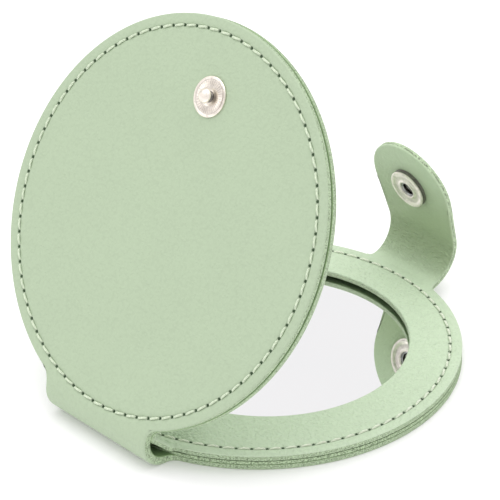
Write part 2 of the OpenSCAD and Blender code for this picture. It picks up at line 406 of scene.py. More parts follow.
def round_edges(piece: Piece, face_slot: int, width: float, segments: int, skip: Optional[Test]) -> None:
    """Rounds the edges between one side of a leather and its cut edge.

    Args:
        piece: The thickened sheet.
        face_slot: The material slot of the side whose edge is rounded.
        width: How far the rounding reaches.
        segments: How many faces it takes.
        skip: A test of the edges' middles for those that stay sharp, or None.
    """
    mesh = piece.data
    slots = np.zeros((len(mesh.edges), EDGE_SLOT + 1), bool)
    loop_edges = np.zeros(len(mesh.loops), np.int32)
    mesh.loops.foreach_get("edge_index", loop_edges)
    for face in mesh.polygons:
        first = face.loop_start
        slots[loop_edges[first : first + face.loop_total], face.material_index] = True
    chosen = slots[:, face_slot] & slots[:, EDGE_SLOT]
    if skip is not None:
        chosen &= ~skip(edge_middles(piece))
    choose(piece, Element.EDGES, chosen)
    bpy.ops.mesh.bevel(
        offset=width * MM,
        segments=segments,
        profile=0.5,
        affect="EDGES",
        material=face_slot,
        clamp_overlap=False,
    )
    to_object_mode()


# Sizes


@dataclass(frozen=True)
class Sizes:
    """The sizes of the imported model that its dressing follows."""

    disc_r: float = 40.0
    outer_t: float = 1.2
    inner_t: float = 1.25
    base_h: float = 3.3
    shut_h: float = 6.6
    lining_z: float = 3.8
    cover_shift: float = 0.5
    open_angle: float = 60.4
    fold_y: float = -42.7
    fold_z: float = 3.3
    loop_r: float = 5.7
    fold_swell: float = 0.5
    fold_half_w: float = 15.0
    far_half_w: float = 13.6
    neck_r: float = 2.5
    lift_y: float = 38.4
    climb_y: float = 37.2
    climb_bend_r: float = 0.9
    climb_thinning: float = 0.22
    lining_inset: float = 1.5
    window_r: float = 27.9
    window_shift: float = 2.3
    mirror_r: float = 30.0
    silver_z: float = 1.35
    glass_top: float = 2.05
    stitch_r: float = 37.6
    stitches: int = 79
    thread_d: float = 0.5
    strap_half_w: float = 8.6
    strap_end_r: float = 10.3
    bend_r: float = 6.5
    bend_angle: float = 106.0
    strap_reach: float = 10.9
    stud_reach: float = 25.4

    def cover_place(self) -> Matrix:
        """Gives the turn that takes the shut cover to where it stands open, in metres."""
        axis = Matrix.Translation((0, self.fold_y * MM, self.fold_z * MM))
        return axis @ Matrix.Rotation(math.radians(self.open_angle), 4, "X") @ axis.inverted()

    def stud_place(self) -> Matrix:
        """Gives the stud's frame, on the cover's outer face with Z outwards."""
        on_cover = Matrix.Translation((0, (self.stud_reach - self.cover_shift) * MM, self.shut_h * MM))
        return self.cover_place() @ on_cover

    def strap_centre(self) -> float:
        """Gives how far from the base's centre, along the strap, the centre of its round end lies."""
        return self.lift_y + self.bend_r * math.radians(self.bend_angle) + self.strap_reach

    def socket_place(self) -> Matrix:
        """Gives the socket's frame, in metres.

        Returns:
            The place on the strap's inner face, with Z inwards.
        """
        lean = Matrix.Rotation(math.radians(self.bend_angle - 90), 4, "X")
        bend = Matrix.Translation((0, self.lift_y * MM, (self.base_h + self.bend_r) * MM))
        reach = Matrix.Translation((0, self.bend_r * MM, self.strap_reach * MM))
        return bend @ lean @ reach @ Matrix.Rotation(math.radians(90), 4, "X")


SIZES = Sizes()


# Finishes


def linear(colour: Colour, share: float = 1.0, lift: float = 0.0) -> tuple[float, ...]:
    """Turns a screen colour of 0 to 255 into Blender's linear one, with full alpha.

    Args:
        colour: The screen colour.
        share: What its values are multiplied by first.
        lift: What is added to them then.

    Returns:
        Red, green, blue and alpha.
    """
    steps = [min(255.0, c * share + lift) / 255 for c in colour]
    return tuple(s / 12.92 if s <= 0.04045 else ((s + 0.055) / 1.055) ** 2.4 for s in steps) + (1.0,)


def tinted(colour: Colour, factors: Colour) -> tuple[float, ...]:
    """Multiplies each of a screen colour's values by its own factor and makes the result linear."""
    return linear(tuple(c * f for c, f in zip(colour, factors)))


class Nodes:
    """A material's node tree, with short ways to add the nodes that the finishes use."""

    def __init__(self, name: str) -> None:
        """Starts a material.

        Args:
            name: The material's name.
        """
        self.material = bpy.data.materials.new(name)
        self.material.use_nodes = True
        self.tree = self.material.node_tree

    def add(self, kind: str, inputs: Optional[dict] = None, **settings: object) -> bpy.types.Node:
        """Adds a node.

        Args:
            kind: Blender's name for the node's type.
            inputs: The value or the output socket that goes to each named or numbered input.
            settings: The node's own settings.

        Returns:
            The new node.
        """
        node = self.tree.nodes.new(kind)
        for key, value in settings.items():
            setattr(node, key, value)
        self.put(node, inputs or {})
        return node

    def put(self, node: bpy.types.Node, inputs: dict) -> None:
        """Links each output socket to its input, or sets the input's value.

        Args:
            node: The node whose inputs are set.
            inputs: The value or the output socket that goes to each named or numbered input.
        """
        for key, value in inputs.items():
            if isinstance(value, Signal):
                self.tree.links.new(value, node.inputs[key])
            else:
                node.inputs[key].default_value = value

    def surface(self, tone: Signal, roughness: object, **more: object) -> Material:
        """Sets the surface shader and gives the finished material.

        Args:
            tone: The base colour.
            roughness: A number or an output socket.
            more: The shader's other inputs, each named with _ for its spaces.

        Returns:
            The material.
        """
        inputs = {"Base Color": tone, "Roughness": roughness}
        inputs.update((name.replace("_", " "), value) for name, value in more.items())
        self.put(self.tree.nodes["Principled BSDF"], inputs)
        return self.material

    def math(self, operation: str, *values: object) -> Signal:
        """Adds a Math node of an operation on numbers or output sockets."""
        return self.add("ShaderNodeMath", dict(enumerate(values)), operation=operation).outputs[0]

    def times(self, first: object, second: object) -> Signal:
        """Multiplies two numbers or output sockets."""
        return self.math("MULTIPLY", first, second)

    def squares(self, first: Signal, second: Signal) -> Signal:
        """Adds the squares of two output sockets."""
        return self.math("MULTIPLY_ADD", second, second, self.times(first, first))

    def flat_place(self, scale: Sequence[float] = (1, 1, 1)) -> Signal:
        """Gives the place on the flat leather in millimetres, stretched for one pattern."""
        read = self.add("ShaderNodeAttribute", attribute_name="flat")
        return self.mapped(read.outputs["Vector"], scale)

    def object_place(self) -> Signal:
        """Gives the place on the object in millimetres."""
        return self.mapped(self.add("ShaderNodeTexCoord").outputs["Object"], (1 / MM,) * 3)

    def mapped(self, place: Signal, scale: Sequence[float]) -> Signal:
        """Scales a place with a Mapping node."""
        return self.add("ShaderNodeMapping", {"Vector": place, "Scale": scale}).outputs[0]

    def parts(self, place: Signal) -> Sequence[Signal]:
        """Splits a place into its x, y and z."""
        return self.add("ShaderNodeSeparateXYZ", {0: place}).outputs

    def noise(self, place: Signal, scale: float, detail: float = 2.0, rough: float = 0.5) -> Signal:
        """Gives a noise of 0 to 1."""
        inputs = {"Vector": place, "Scale": scale, "Detail": detail, "Roughness": rough}
        return self.add("ShaderNodeTexNoise", inputs).outputs[0]

    def span(
        self, value: Signal, low: float, high: float, to_low: float = 0.0, to_high: float = 1.0
    ) -> Signal:
        """Maps a value smoothly from one range to another.

        Args:
            value: The value.
            low: Where its range starts.
            high: Where its range ends.
            to_low: The result at the start and before it.
            to_high: The result at the end and after it.

        Returns:
            The node's output.
        """
        inputs = {"Value": value, "From Min": low, "From Max": high, "To Min": to_low, "To Max": to_high}
        return self.add("ShaderNodeMapRange", inputs, interpolation_type="SMOOTHSTEP").outputs[0]

    def blend(self, share: object, first: object, second: object) -> Signal:
        """Mixes two colours, which are a Mix node's inputs 6 and 7, by a share of 0 to 1."""
        return self.add("ShaderNodeMix", {0: share, 6: first, 7: second}, data_type="RGBA").outputs[2]

    def raised(self, *patterns: tuple[Signal, float]) -> Signal:
        """Adds bumps, each on top of the one before.

        Args:
            patterns: Each bump's pattern from 0 to 1, and how high 1 stands in millimetres.

        Returns:
            The last bump's normal.
        """
        under = {}
        for height, depth in patterns:
            inputs = {"Height": height, "Distance": depth * MM, "Strength": 1.0, **under}
            under = {"Normal": self.add("ShaderNodeBump", inputs).outputs[0]}
        return under["Normal"]


@dataclass(frozen=True)
class GrainFinish:
    """The smooth, finely pebbled side of the dyed leather."""

    name: str
    colour: Colour
    seam_length: float
    roughness: float = 0.52
    pebble_mm: float = 0.58
    pebble_depth: float = 0.08
    folds: float = 0.0
    # The next three set painted shade: along the strap, beside the fold with its coarser grain, and in the
    # needle holes.
    strap_shade: float = 0.0
    fold_shade_and_grain: float = 0.0
    hole_shade_colour: Colour = (56, 84, 50)
    hole_radii: Point = (0.2, 0.38)
    # How far the painted shade beside the seam's groove reaches.
    groove_reach: Point = (0.28, 0.5)

    def material(self) -> Material:
        """Builds the grain with its pores, its clouding, its needle holes, and painted shade in the holes,
        along the seam and, where set, beside the fold and along the strap.

        Returns:
            The material of the grain side.
        """
        n = Nodes(self.name)
        place = n.flat_place()
        warp = n.add("ShaderNodeTexNoise", {"Vector": place, "Scale": 0.9, "Detail": 2.0})
        bent = n.add("ShaderNodeVectorMath", {0: place, 1: warp.outputs["Color"]}, operation="ADD").outputs[0]
        cells = {"Vector": bent, "Scale": 1 / self.pebble_mm}
        pebbles = n.add("ShaderNodeTexVoronoi", cells, feature="SMOOTH_F1").outputs["Distance"]
        fine = n.noise(place, 3.4, 4.0, 0.6)
        broad = n.noise(place, 0.07, 3.0, 0.55)
        soft = n.noise(place, 0.55, 3.0, 0.6)
        tone = n.blend(n.span(broad, 0.3, 0.7), linear(self.colour, 0.992), linear(self.colour))
        tone = n.blend(n.times(n.span(pebbles, 0.3, 0.8), 0.16), tone, linear(self.colour, 0.84))
        # Coarser grain beside the fold, darkened there as well as painted shade of the cover's shadow.
        if self.fold_shade_and_grain:
            tone = n.blend(self.fold_shade_and_open_grain(n, place), tone, tinted(self.colour, (0.6, 0.67, 0.56)))
        tone = n.blend(n.times(n.span(fine, 0.35, 0.75), 0.16), tone, linear(self.colour, 1.04))
        # Painted shade along the strap, darkest in the bend and the middle.
        if self.strap_shade:
            strap_shaded_tone = tinted(self.colour, (self.strap_shade, self.strap_shade * 1.02, self.strap_shade * 0.94))
            tone = n.blend(self.strap_shade_share(n, place), tone, strap_shaded_tone)
        hole, groove = self.holes(n, place)
        # Painted shade along both sides of the seam's groove.
        tone = n.blend(n.times(groove, 0.3), tone, linear(self.colour, 0.6))
        # Painted shade in the needle holes.
        tone = n.blend(hole, tone, linear(self.hole_shade_colour))
        rough = n.span(soft, 0.2, 0.8, self.roughness - 0.06, self.roughness + 0.08)
        bumps = [(n.span(pebbles, 0.0, 0.9, 1.0, 0.0), self.pebble_depth), (soft, 0.02), (fine, 0.02)]
        bumps.append((n.math("SUBTRACT", 1.0, hole), 0.25))
        if self.folds:
            bumps.append((self.creases(n, place), self.folds))
        return n.surface(tone, rough, Specular_IOR_Level=0.4, Normal=n.raised(*bumps))

    def holes(self, n: Nodes, place: Signal) -> tuple[Signal, Signal]:
        """Finds the seam round both discs.

        Args:
            n: The material's nodes.
            place: The place on the flat leather.

        Returns:
            1 in each needle hole, and 1 along the groove that the thread lies in.
        """
        across, along, _ = n.parts(place)
        if self.seam_length:
            second = n.math("LESS_THAN", along, -self.seam_length / 2)
            along = n.math("MULTIPLY_ADD", second, self.seam_length, along)
        turn = n.times(n.math("ARCTAN2", along, across), SIZES.stitches / (2 * math.pi))
        step = n.math("SUBTRACT", n.math("FRACT", n.math("ADD", turn, 0.5)), 0.5)
        sideways = n.times(step, 2 * math.pi * SIZES.stitch_r / SIZES.stitches)
        radial = n.math("SUBTRACT", n.math("SQRT", n.squares(across, along)), SIZES.stitch_r)
        far = n.math("SQRT", n.squares(sideways, radial))
        groove = n.span(n.math("ABSOLUTE", radial), *self.groove_reach, 1.0, 0.0)
        return n.span(far, *self.hole_radii, 1.0, 0.0), groove

    def fold_shade_and_open_grain(self, n: Nodes, place: Signal) -> Signal:
        """Finds the coarse grain that the pull of the fold opens beside it, and the cover's shadow there as
        painted shade.

        Args:
            n: The material's nodes.
            place: The place on the flat leather.

        Returns:
            How open the grain is and how deep the painted shade lies, from 0 to 1.
        """
        across, along, _ = n.parts(place)
        near = n.times(n.span(along, -34.0, -26.0, 1.0, 0.0), n.span(along, -46.0, -41.0))
        inside = n.span(n.math("SQRT", n.squares(across, along)), 36.8, SIZES.stitch_r, 1.0, 0.05)
        beside = n.span(n.math("ABSOLUTE", across), 13.0, 21.0, 1.0, 0.0)
        grain = n.span(n.noise(n.flat_place((1.3, 2.6, 1.0)), 1.0, 2.0, 0.6), 0.38, 0.6, 0.05, 1.0)
        return n.times(n.times(n.times(near, inside), n.times(beside, grain)), self.fold_shade_and_grain)

    def strap_shade_share(self, n: Nodes, place: Signal) -> Signal:
        """Gives how much painted shade darkens a strap along its length, most where it bends."""
        along = n.parts(place)[1]
        return n.times(n.span(along, 38.0, 47.0), n.span(along, 53.0, 70.0, 1.0, 0.3))

    def creases(self, n: Nodes, place: Signal) -> Signal:
        """Gives the short wrinkles that cross a strap where it bends.

        Args:
            n: The material's nodes.
            place: The place on the flat leather.

        Returns:
            How deep the wrinkles are, from 0 to 1.
        """
        lines = n.noise(n.flat_place((0.75, 1.9, 1.0)), 1.0, 3.0, 0.6)
        along = n.parts(place)[1]
        here = n.times(n.span(along, 39.5, 43.0), n.span(along, 48.0, 53.0, 1.0, 0.0))
        return n.times(here, n.span(lines, 0.35, 0.65))


@dataclass(frozen=True)
class CutEdgeFinish:
    """The fibrous cut edge of the dyed leather, speckled where fibres catch the light."""

    name: str
    colour: Colour
    glue_line: float = 0.0
    window_light_colour: Colour = (240, 250, 225)

    def material(self) -> Material:
        """Builds the specks, the pits and the layering along the edge.

        Returns:
            The material of the cut edge.
        """
        n = Nodes(self.name)
        place = n.flat_place((1, 1, 1.6))
        specks = n.noise(place, 3.7, 3.0, 0.62)
        coarse = n.noise(place, 1.5, 3.0, 0.6)
        streaks = n.noise(n.flat_place((0.35, 0.35, 6.0)), 1.0, 2.0)
        dark = linear(self.colour, 0.64)
        tone = n.blend(n.span(specks, 0.38, 0.6), dark, linear(self.colour, 1.03, 13))
        tone = n.blend(n.span(coarse, 0.3, 0.7, 0.0, 0.35), tone, linear(self.colour))
        # Painted light: the edge round the mirror's window is painted paler.
        tone = n.blend(self.window_light(n), tone, linear(self.window_light_colour))
        tone = n.blend(n.span(specks, 0.33, 0.27), tone, linear(self.colour, 0.42))
        tone = n.blend(n.times(n.span(streaks, 0.45, 0.7), 0.25), tone, dark)
        if self.glue_line:
            off = n.math("ABSOLUTE", n.math("ADD", n.parts(n.flat_place())[2], self.glue_line))
            spots = n.span(n.noise(n.flat_place((1.1, 1.1, 1.0)), 1.0, 2.0), 0.42, 0.56)
            line = n.times(n.span(off, 0.05, 0.2, 1.0, 0.0), spots)
            tone = n.blend(n.times(line, 0.8), tone, linear(self.colour, 0.55))
        normal = n.raised((specks, 0.09), (coarse, 0.06))
        return n.surface(tone, 0.86, Specular_IOR_Level=0.2, Normal=normal)

    def window_light(self, n: Nodes) -> Signal:
        """Gives where the edge round the mirror's window is painted paler, as painted light."""
        across, along, _ = n.parts(n.flat_place())
        return n.span(n.squares(across, along), 950.0, 1000.0, 0.3, 0.0)


@dataclass(frozen=True)
class SuedeFinish:
    """The back of the leather, where it isn't glued down."""

    name: str
    colour: Colour

    def material(self) -> Material:
        """Builds the short nap and its clouding.

        Returns:
            The material of the leather's back.
        """
        n = Nodes(self.name)
        place = n.flat_place()
        nap = n.noise(place, 5.0, 4.0, 0.7)
        cloud = n.noise(place, 0.5, 3.0)
        tone = n.blend(n.span(nap, 0.3, 0.7), linear(self.colour, 0.8), linear(self.colour))
        tone = n.blend(n.times(cloud, 0.3), tone, linear(self.colour, 0.88))
        return n.surface(tone, 0.95, Specular_IOR_Level=0.1, Normal=n.raised((nap, 0.08)))


@dataclass(frozen=True)
class ThreadFinish:
    """Waxed sewing thread, laid in two strands."""

    name: str
    colour: Colour
    lay_angle: float = 38.0

    def material(self) -> Material:
        """Builds the twist from the thread's own map, with a light wax sheen.

        Returns:
            The material of the thread.
        """
        n = Nodes(self.name)
        read = n.add("ShaderNodeUVMap", uv_map="thread").outputs[0]
        rotation = (0, 0, math.radians(self.lay_angle))
        turned = n.add("ShaderNodeMapping", {"Vector": read, "Rotation": rotation}).outputs[0]
        wave = {"Vector": turned, "Scale": 1.9, "Distortion": 0.5, "Detail": 1.0}
        twist = n.add("ShaderNodeTexWave", wave, wave_profile="SIN").outputs["Fac"]
        fuzz = n.noise(n.object_place(), 6.0, 3.0, 0.6)
        tone = n.blend(n.span(twist, 0.1, 0.6), linear(self.colour, 0.8), linear(self.colour))
        tone = n.blend(n.times(fuzz, 0.2), tone, linear(self.colour, 0.92))
        return n.surface(tone, 0.6, Specular_IOR_Level=0.35, Normal=n.raised((twist, 0.06)))


@dataclass(frozen=True)
class MetalShade:
    """Round bands, ridge lines and the low wall of a turned part, darkened as painted shade and painted dark
    reflections.
    """

    bands: tuple[tuple[float, float, float], ...] = ()
    bands_below: float = 9.0
    ridges: int = 0
    ridge_from: float = 0.0
    ridge_to: float = 0.0
    wall_below: float = -9.0

    def share(self, n: Nodes) -> Signal:
        """Gives how dark the painted shade makes each place, from the part's own places.

        Args:
            n: The material's nodes.

        Returns:
            A share of 0 to 1.
        """
        x, y, height = n.parts(n.flat_place())
        radius = n.math("SQRT", n.squares(x, y))
        total = n.times(n.span(height, self.wall_below - 0.1, self.wall_below, 1.0, 0.0), 0.85)
        for middle, reach, depth in self.bands:
            off = n.math("ABSOLUTE", n.math("SUBTRACT", radius, middle))
            low = n.span(height, self.bands_below - 0.1, self.bands_below, 1.0, 0.0)
            total = n.math("MAXIMUM", total, n.times(low, n.span(off, reach * 0.45, reach, depth, 0.0)))
        if self.ridges:
            turn = n.times(n.math("ARCTAN2", y, x), self.ridges)
            line = n.span(n.math("COSINE", turn), -0.6, 0.7, 0.0, 0.24)
            starts = n.span(radius, self.ridge_from, self.ridge_from + 0.25)
            ends = n.span(radius, self.ridge_to - 0.2, self.ridge_to, 1.0, 0.0)
            total = n.math("MAXIMUM", total, n.times(line, n.times(starts, ends)))
        return total


@dataclass(frozen=True)
class MetalFinish:
    """Plated metal with fine handling marks."""

    name: str
    colour: Colour
    roughness: float
    marks: float = 0.06
    dulled: float = 0.3
    shade_colour: Colour = (70, 68, 66)
    painted_shade: Optional[MetalShade] = None

    def material(self) -> Material:
        """Builds the plating, its small dents, its dulled patches and, where given, its painted shade.

        Returns:
            The material of the metal.
        """
        n = Nodes(self.name)
        place = n.object_place()
        fine = n.noise(place, 5.0, 3.0, 0.65)
        patch = n.noise(place, 0.9, 3.0)
        grey = linear(self.colour, 0.72)
        tone = n.blend(n.span(patch, 0.5, 0.62, 0.0, self.dulled), linear(self.colour), grey)
        tone = n.blend(n.span(fine, 0.52, 0.68, 0.0, self.dulled * 1.15), tone, grey)
        # Painted shade and painted dark reflections in the hollows and on the low wall, broken up by the fine
        # marks.
        if self.painted_shade:
            broken_shade = n.times(self.painted_shade.share(n), n.span(fine, 0.2, 0.6, 0.7, 1.0))
            tone = n.blend(broken_shade, tone, linear(self.shade_colour))
        rough = n.span(fine, 0.3, 0.8, self.roughness, self.roughness + 0.16)
        return n.surface(tone, rough, Metallic=1.0, Normal=n.raised((fine, self.marks * 0.1)))


@dataclass(frozen=True)
class BoardFinish:
    """Pressed board or card, dyed through, with its fibres showing."""

    name: str
    colour: Colour
    seams: tuple[float, ...] = ()
    glue_colour: Colour = (58, 80, 50)

    def material(self) -> Material:
        """Builds the fibres, the specks and the glue lines on the object's own places.

        Returns:
            The material of the board.
        """
        n = Nodes(self.name)
        place = n.object_place()
        specks = n.noise(place, 3.3, 3.0, 0.65)
        layers = n.noise(n.mapped(place, (0.4, 0.4, 7.0)), 1.0, 2.0)
        pale = linear(self.colour, 1.03, 12)
        tone = n.blend(n.span(specks, 0.38, 0.6), linear(self.colour, 0.6), pale)
        tone = n.blend(n.times(layers, 0.3), tone, pale)
        height = n.parts(place)[2]
        for seam in self.seams:
            off = n.math("ABSOLUTE", n.math("SUBTRACT", height, seam))
            tone = n.blend(n.span(off, 0.03, 0.16, 0.8, 0.0), tone, linear(self.glue_colour))
        return n.surface(tone, 0.9, Specular_IOR_Level=0.15, Normal=n.raised((specks, 0.07)))


@dataclass(frozen=True)
class CloudedFinish:
    """An even surface with the faintest clouding: the silvering, the glass or the table."""

    name: str
    scale: float
    detail: float
    first: Colour
    second: Colour
    roughness: float
    more: tuple[tuple[str, object], ...]

    def material(self) -> Material:
        """Builds the surface from its two tints and its other settings.

        Returns:
            The material of the surface.
        """
        n = Nodes(self.name)
        cloud = n.noise(n.object_place(), self.scale, self.detail)
        tone = n.blend(cloud, (*self.first, 1), (*self.second, 1))
        return n.surface(tone, self.roughness, **dict(self.more))


SILVERING = CloudedFinish(
    name="silvering",
    scale=0.04,
    detail=2.0,
    first=(0.985, 0.982, 0.985),
    second=(0.995, 0.99, 0.995),
    roughness=0.0,
    more=(("Metallic", 1.0),),
)
# The plate is thin and hardly bends what shows through it.
GLASS = CloudedFinish(
    name="mirror_glass",
    scale=0.05,
    detail=2.0,
    first=(0.985, 0.995, 0.99),
    second=(0.995, 1.0, 0.995),
    roughness=0.0,
    more=(("IOR", 1.01), ("Transmission_Weight", 1.0)),
)
# The table is lit a little from within, so that the shadows on it stay light.
TABLE_WHITE = CloudedFinish(
    name="table_white",
    scale=0.02,
    detail=3.0,
    first=(0.93, 0.925, 0.935),
    second=(0.95, 0.945, 0.955),
    roughness=1.0,
    more=(
        ("Specular_IOR_Level", 0.0),
        ("Emission_Color", (1.0, 0.955, 1.0, 1.0)),
        ("Emission_Strength", 0.09),
    ),
)


# Leather


@dataclass(frozen=True)
class Stretch:
    """One stretch of a path: its length, and the angle in degrees that it turns to the left."""

    length: float
    turn: float = 0.0


@dataclass(frozen=True)
class LeatherPath:
    """The line that a leather's grain side follows in the YZ plane, and the side its thickness lies on."""

    start: Point
    heading: float
    stretches: tuple[Stretch, ...]
    side: Side

    def place(self, along: np.ndarray, depth: np.ndarray) -> tuple[np.ndarray, np.ndarray]:
        """Rolls a flat leather along the path.

        Args:
            along: How far along the path each vertex lies. Below 0 it lies before the start.
            depth: How far below the grain side it lies.

        Returns:
            The y and z of each vertex.
        """
        y, z = np.empty_like(along), np.empty_like(along)
        point, heading, begun = np.array(self.start, float), math.radians(self.heading), 0.0
        last = len(self.stretches) - 1
        for i, stretch in enumerate(self.stretches):
            turn = math.radians(stretch.turn)
            here = (along >= begun) if i else np.ones(len(along), bool)
            gone = along[here] - begun
            if turn:
                radius = stretch.length / turn
                angle = heading + turn * gone / stretch.length
                left = np.array([-math.sin(heading), math.cos(heading)])
                centre = point + radius * left
                run_y = centre[0] + radius * np.sin(angle)
                run_z = centre[1] - radius * np.cos(angle)
            else:
                angle = np.full(len(gone), heading)
                run_y = point[0] + gone * math.cos(heading)
                run_z = point[1] + gone * math.sin(heading)
            out = self.side.value * depth[here]
            y[here] = run_y - out * np.sin(angle)
            z[here] = run_z + out * np.cos(angle)
            if i < last:
                if turn:
                    point = centre + radius * np.array([math.sin(heading + turn), -math.cos(heading + turn)])
                else:
                    point = point + stretch.length * np.array([math.cos(heading), math.sin(heading)])
                heading += turn
                begun += stretch.length
        return y, z

    def bends(self, step: float = 4.0, spacing: float = 0.4) -> list[float]:
        """Lists where along the path the leather has to be cut so that it can turn.

        Args:
            step: The turn between two cuts, in degrees.
            spacing: The length between two cuts where the path between two bends runs straight.

        Returns:
            The places, from the first bend's start to the last one's end.
        """
        found, begun, last = [], 0.0, len(self.stretches) - 1
        for i, stretch in enumerate(self.stretches):
            count = math.ceil(stretch.length / spacing)
            if stretch.turn:
                count = max(2, math.ceil(abs(stretch.turn) / step))
            if 0 < i < last:
                found += [begun + stretch.length * k / count for k in range(1, count + 1)]
            elif i == 0:
                found.append(stretch.length)
            begun += stretch.length
        return found

    def length(self) -> float:
        """Gives the path's whole length."""
        return sum(s.length for s in self.stretches)


# The radii of a disc's loops from its rim inwards, then those of a plain disc and the steps to the window.
DISC_RINGS = (40.0, 39.6, 39.2, 38.85, 38.5, 38.2, 37.9, 37.6, 37.3, 37.0, 36.7, 36.2)
INNER_RINGS = (34.0, 30.0, 24.0, 17.0, 10.0, 4.0, 0.0)
WINDOW_SHARES = (0.3, 0.62, 0.86, 0.95, 1.0)
# Faces round a disc, and how many of them the neck and the strap take on each side of the middle line.
COLUMNS = 4 * SIZES.stitches
NECK_COLUMNS = 21
STRAP_COLUMNS = 12
# The width and the number of faces of the rounding along each side of a leather.
GRAIN_ROUNDING = (0.26, 3)
BACK_ROUNDING = (0.1, 1)
# How closely a place follows a round line that it lies on.
ON_LINE = 0.02
TURNED_SMOOTH = 35.0


def column_angles(places: np.ndarray, centre_y: float) -> tuple[np.ndarray, np.ndarray]:
    """Gives each place's angle about a disc's centre in columns, and its radius."""
    x, y = places[:, 0], places[:, 1] - centre_y
    return np.arctan2(y, x) * COLUMNS / (2 * math.pi), np.hypot(x, y)


def rim_place(columns: int) -> Point:
    """Gives the place on a disc's rim that lies some columns to the side of its middle line."""
    turn = math.radians(columns * 360 / COLUMNS)
    return SIZES.disc_r * math.sin(turn), SIZES.disc_r * math.cos(turn)


@dataclass(frozen=True)
class Seam:
    """The sewn groove, with a low bank on each side and a pit at each needle hole."""

    groove_depth: float = 0.12
    groove_reach: float = 0.42
    bank_height: float = 0.05
    bank_off: float = 1.15
    bank_reach: float = 0.5
    reach: float = 2.0
    pit_depth: float = 0.28
    pit_reach: float = ON_LINE
    grain_above: float = -0.001

    def press(self, piece: Piece, centres: Sequence[float]) -> None:
        """Presses the seam into a flat leather's grain side.

        Args:
            piece: The thickened, still flat leather, with its grain side at height 0.
            centres: The y of each sewn disc's centre.
        """
        places = vertex_places(piece)
        on_grain = places[:, 2] > self.grain_above
        for centre in centres:
            column, radius = column_angles(places, centre)
            off = radius - SIZES.stitch_r
            groove = self.groove_depth * np.exp(-((off / self.groove_reach) ** 2))
            bank = self.bank_height * np.exp(-(((np.abs(off) - self.bank_off) / self.bank_reach) ** 2))
            near = on_grain & (np.abs(off) < self.reach)
            places[near, 2] += (bank - groove)[near]
            at_hole = np.abs(column / 4 - np.round(column / 4)) < self.pit_reach
            places[near & at_hole & (np.abs(off) < self.pit_reach), 2] -= self.pit_depth
        move_vertices(piece, places)


def keep_flat_places(piece: Piece) -> None:
    """Writes each vertex's place on the flat leather into the attribute that the finishes read."""
    made = piece.data.attributes.new("flat", "FLOAT_VECTOR", "POINT")
    made.data.foreach_set("vector", vertex_places(piece).astype(np.float32).ravel())


def dress_sheet(piece: Piece, thickness: float, finishes: Sequence[Material], skip: Optional[Test]) -> None:
    """Thickens a flat sheet, gives it its finishes and rounds its edges.

    Args:
        piece: The flat sheet.
        thickness: The leather's thickness.
        finishes: The grain, the back and the cut edge.
        skip: A test of edges that stay sharp, or None.
    """
    clad(piece, *finishes)
    thicken(piece, thickness)
    round_edges(piece, GRAIN_SLOT, *GRAIN_ROUNDING, skip)
    round_edges(piece, BACK_SLOT, *BACK_ROUNDING, skip)


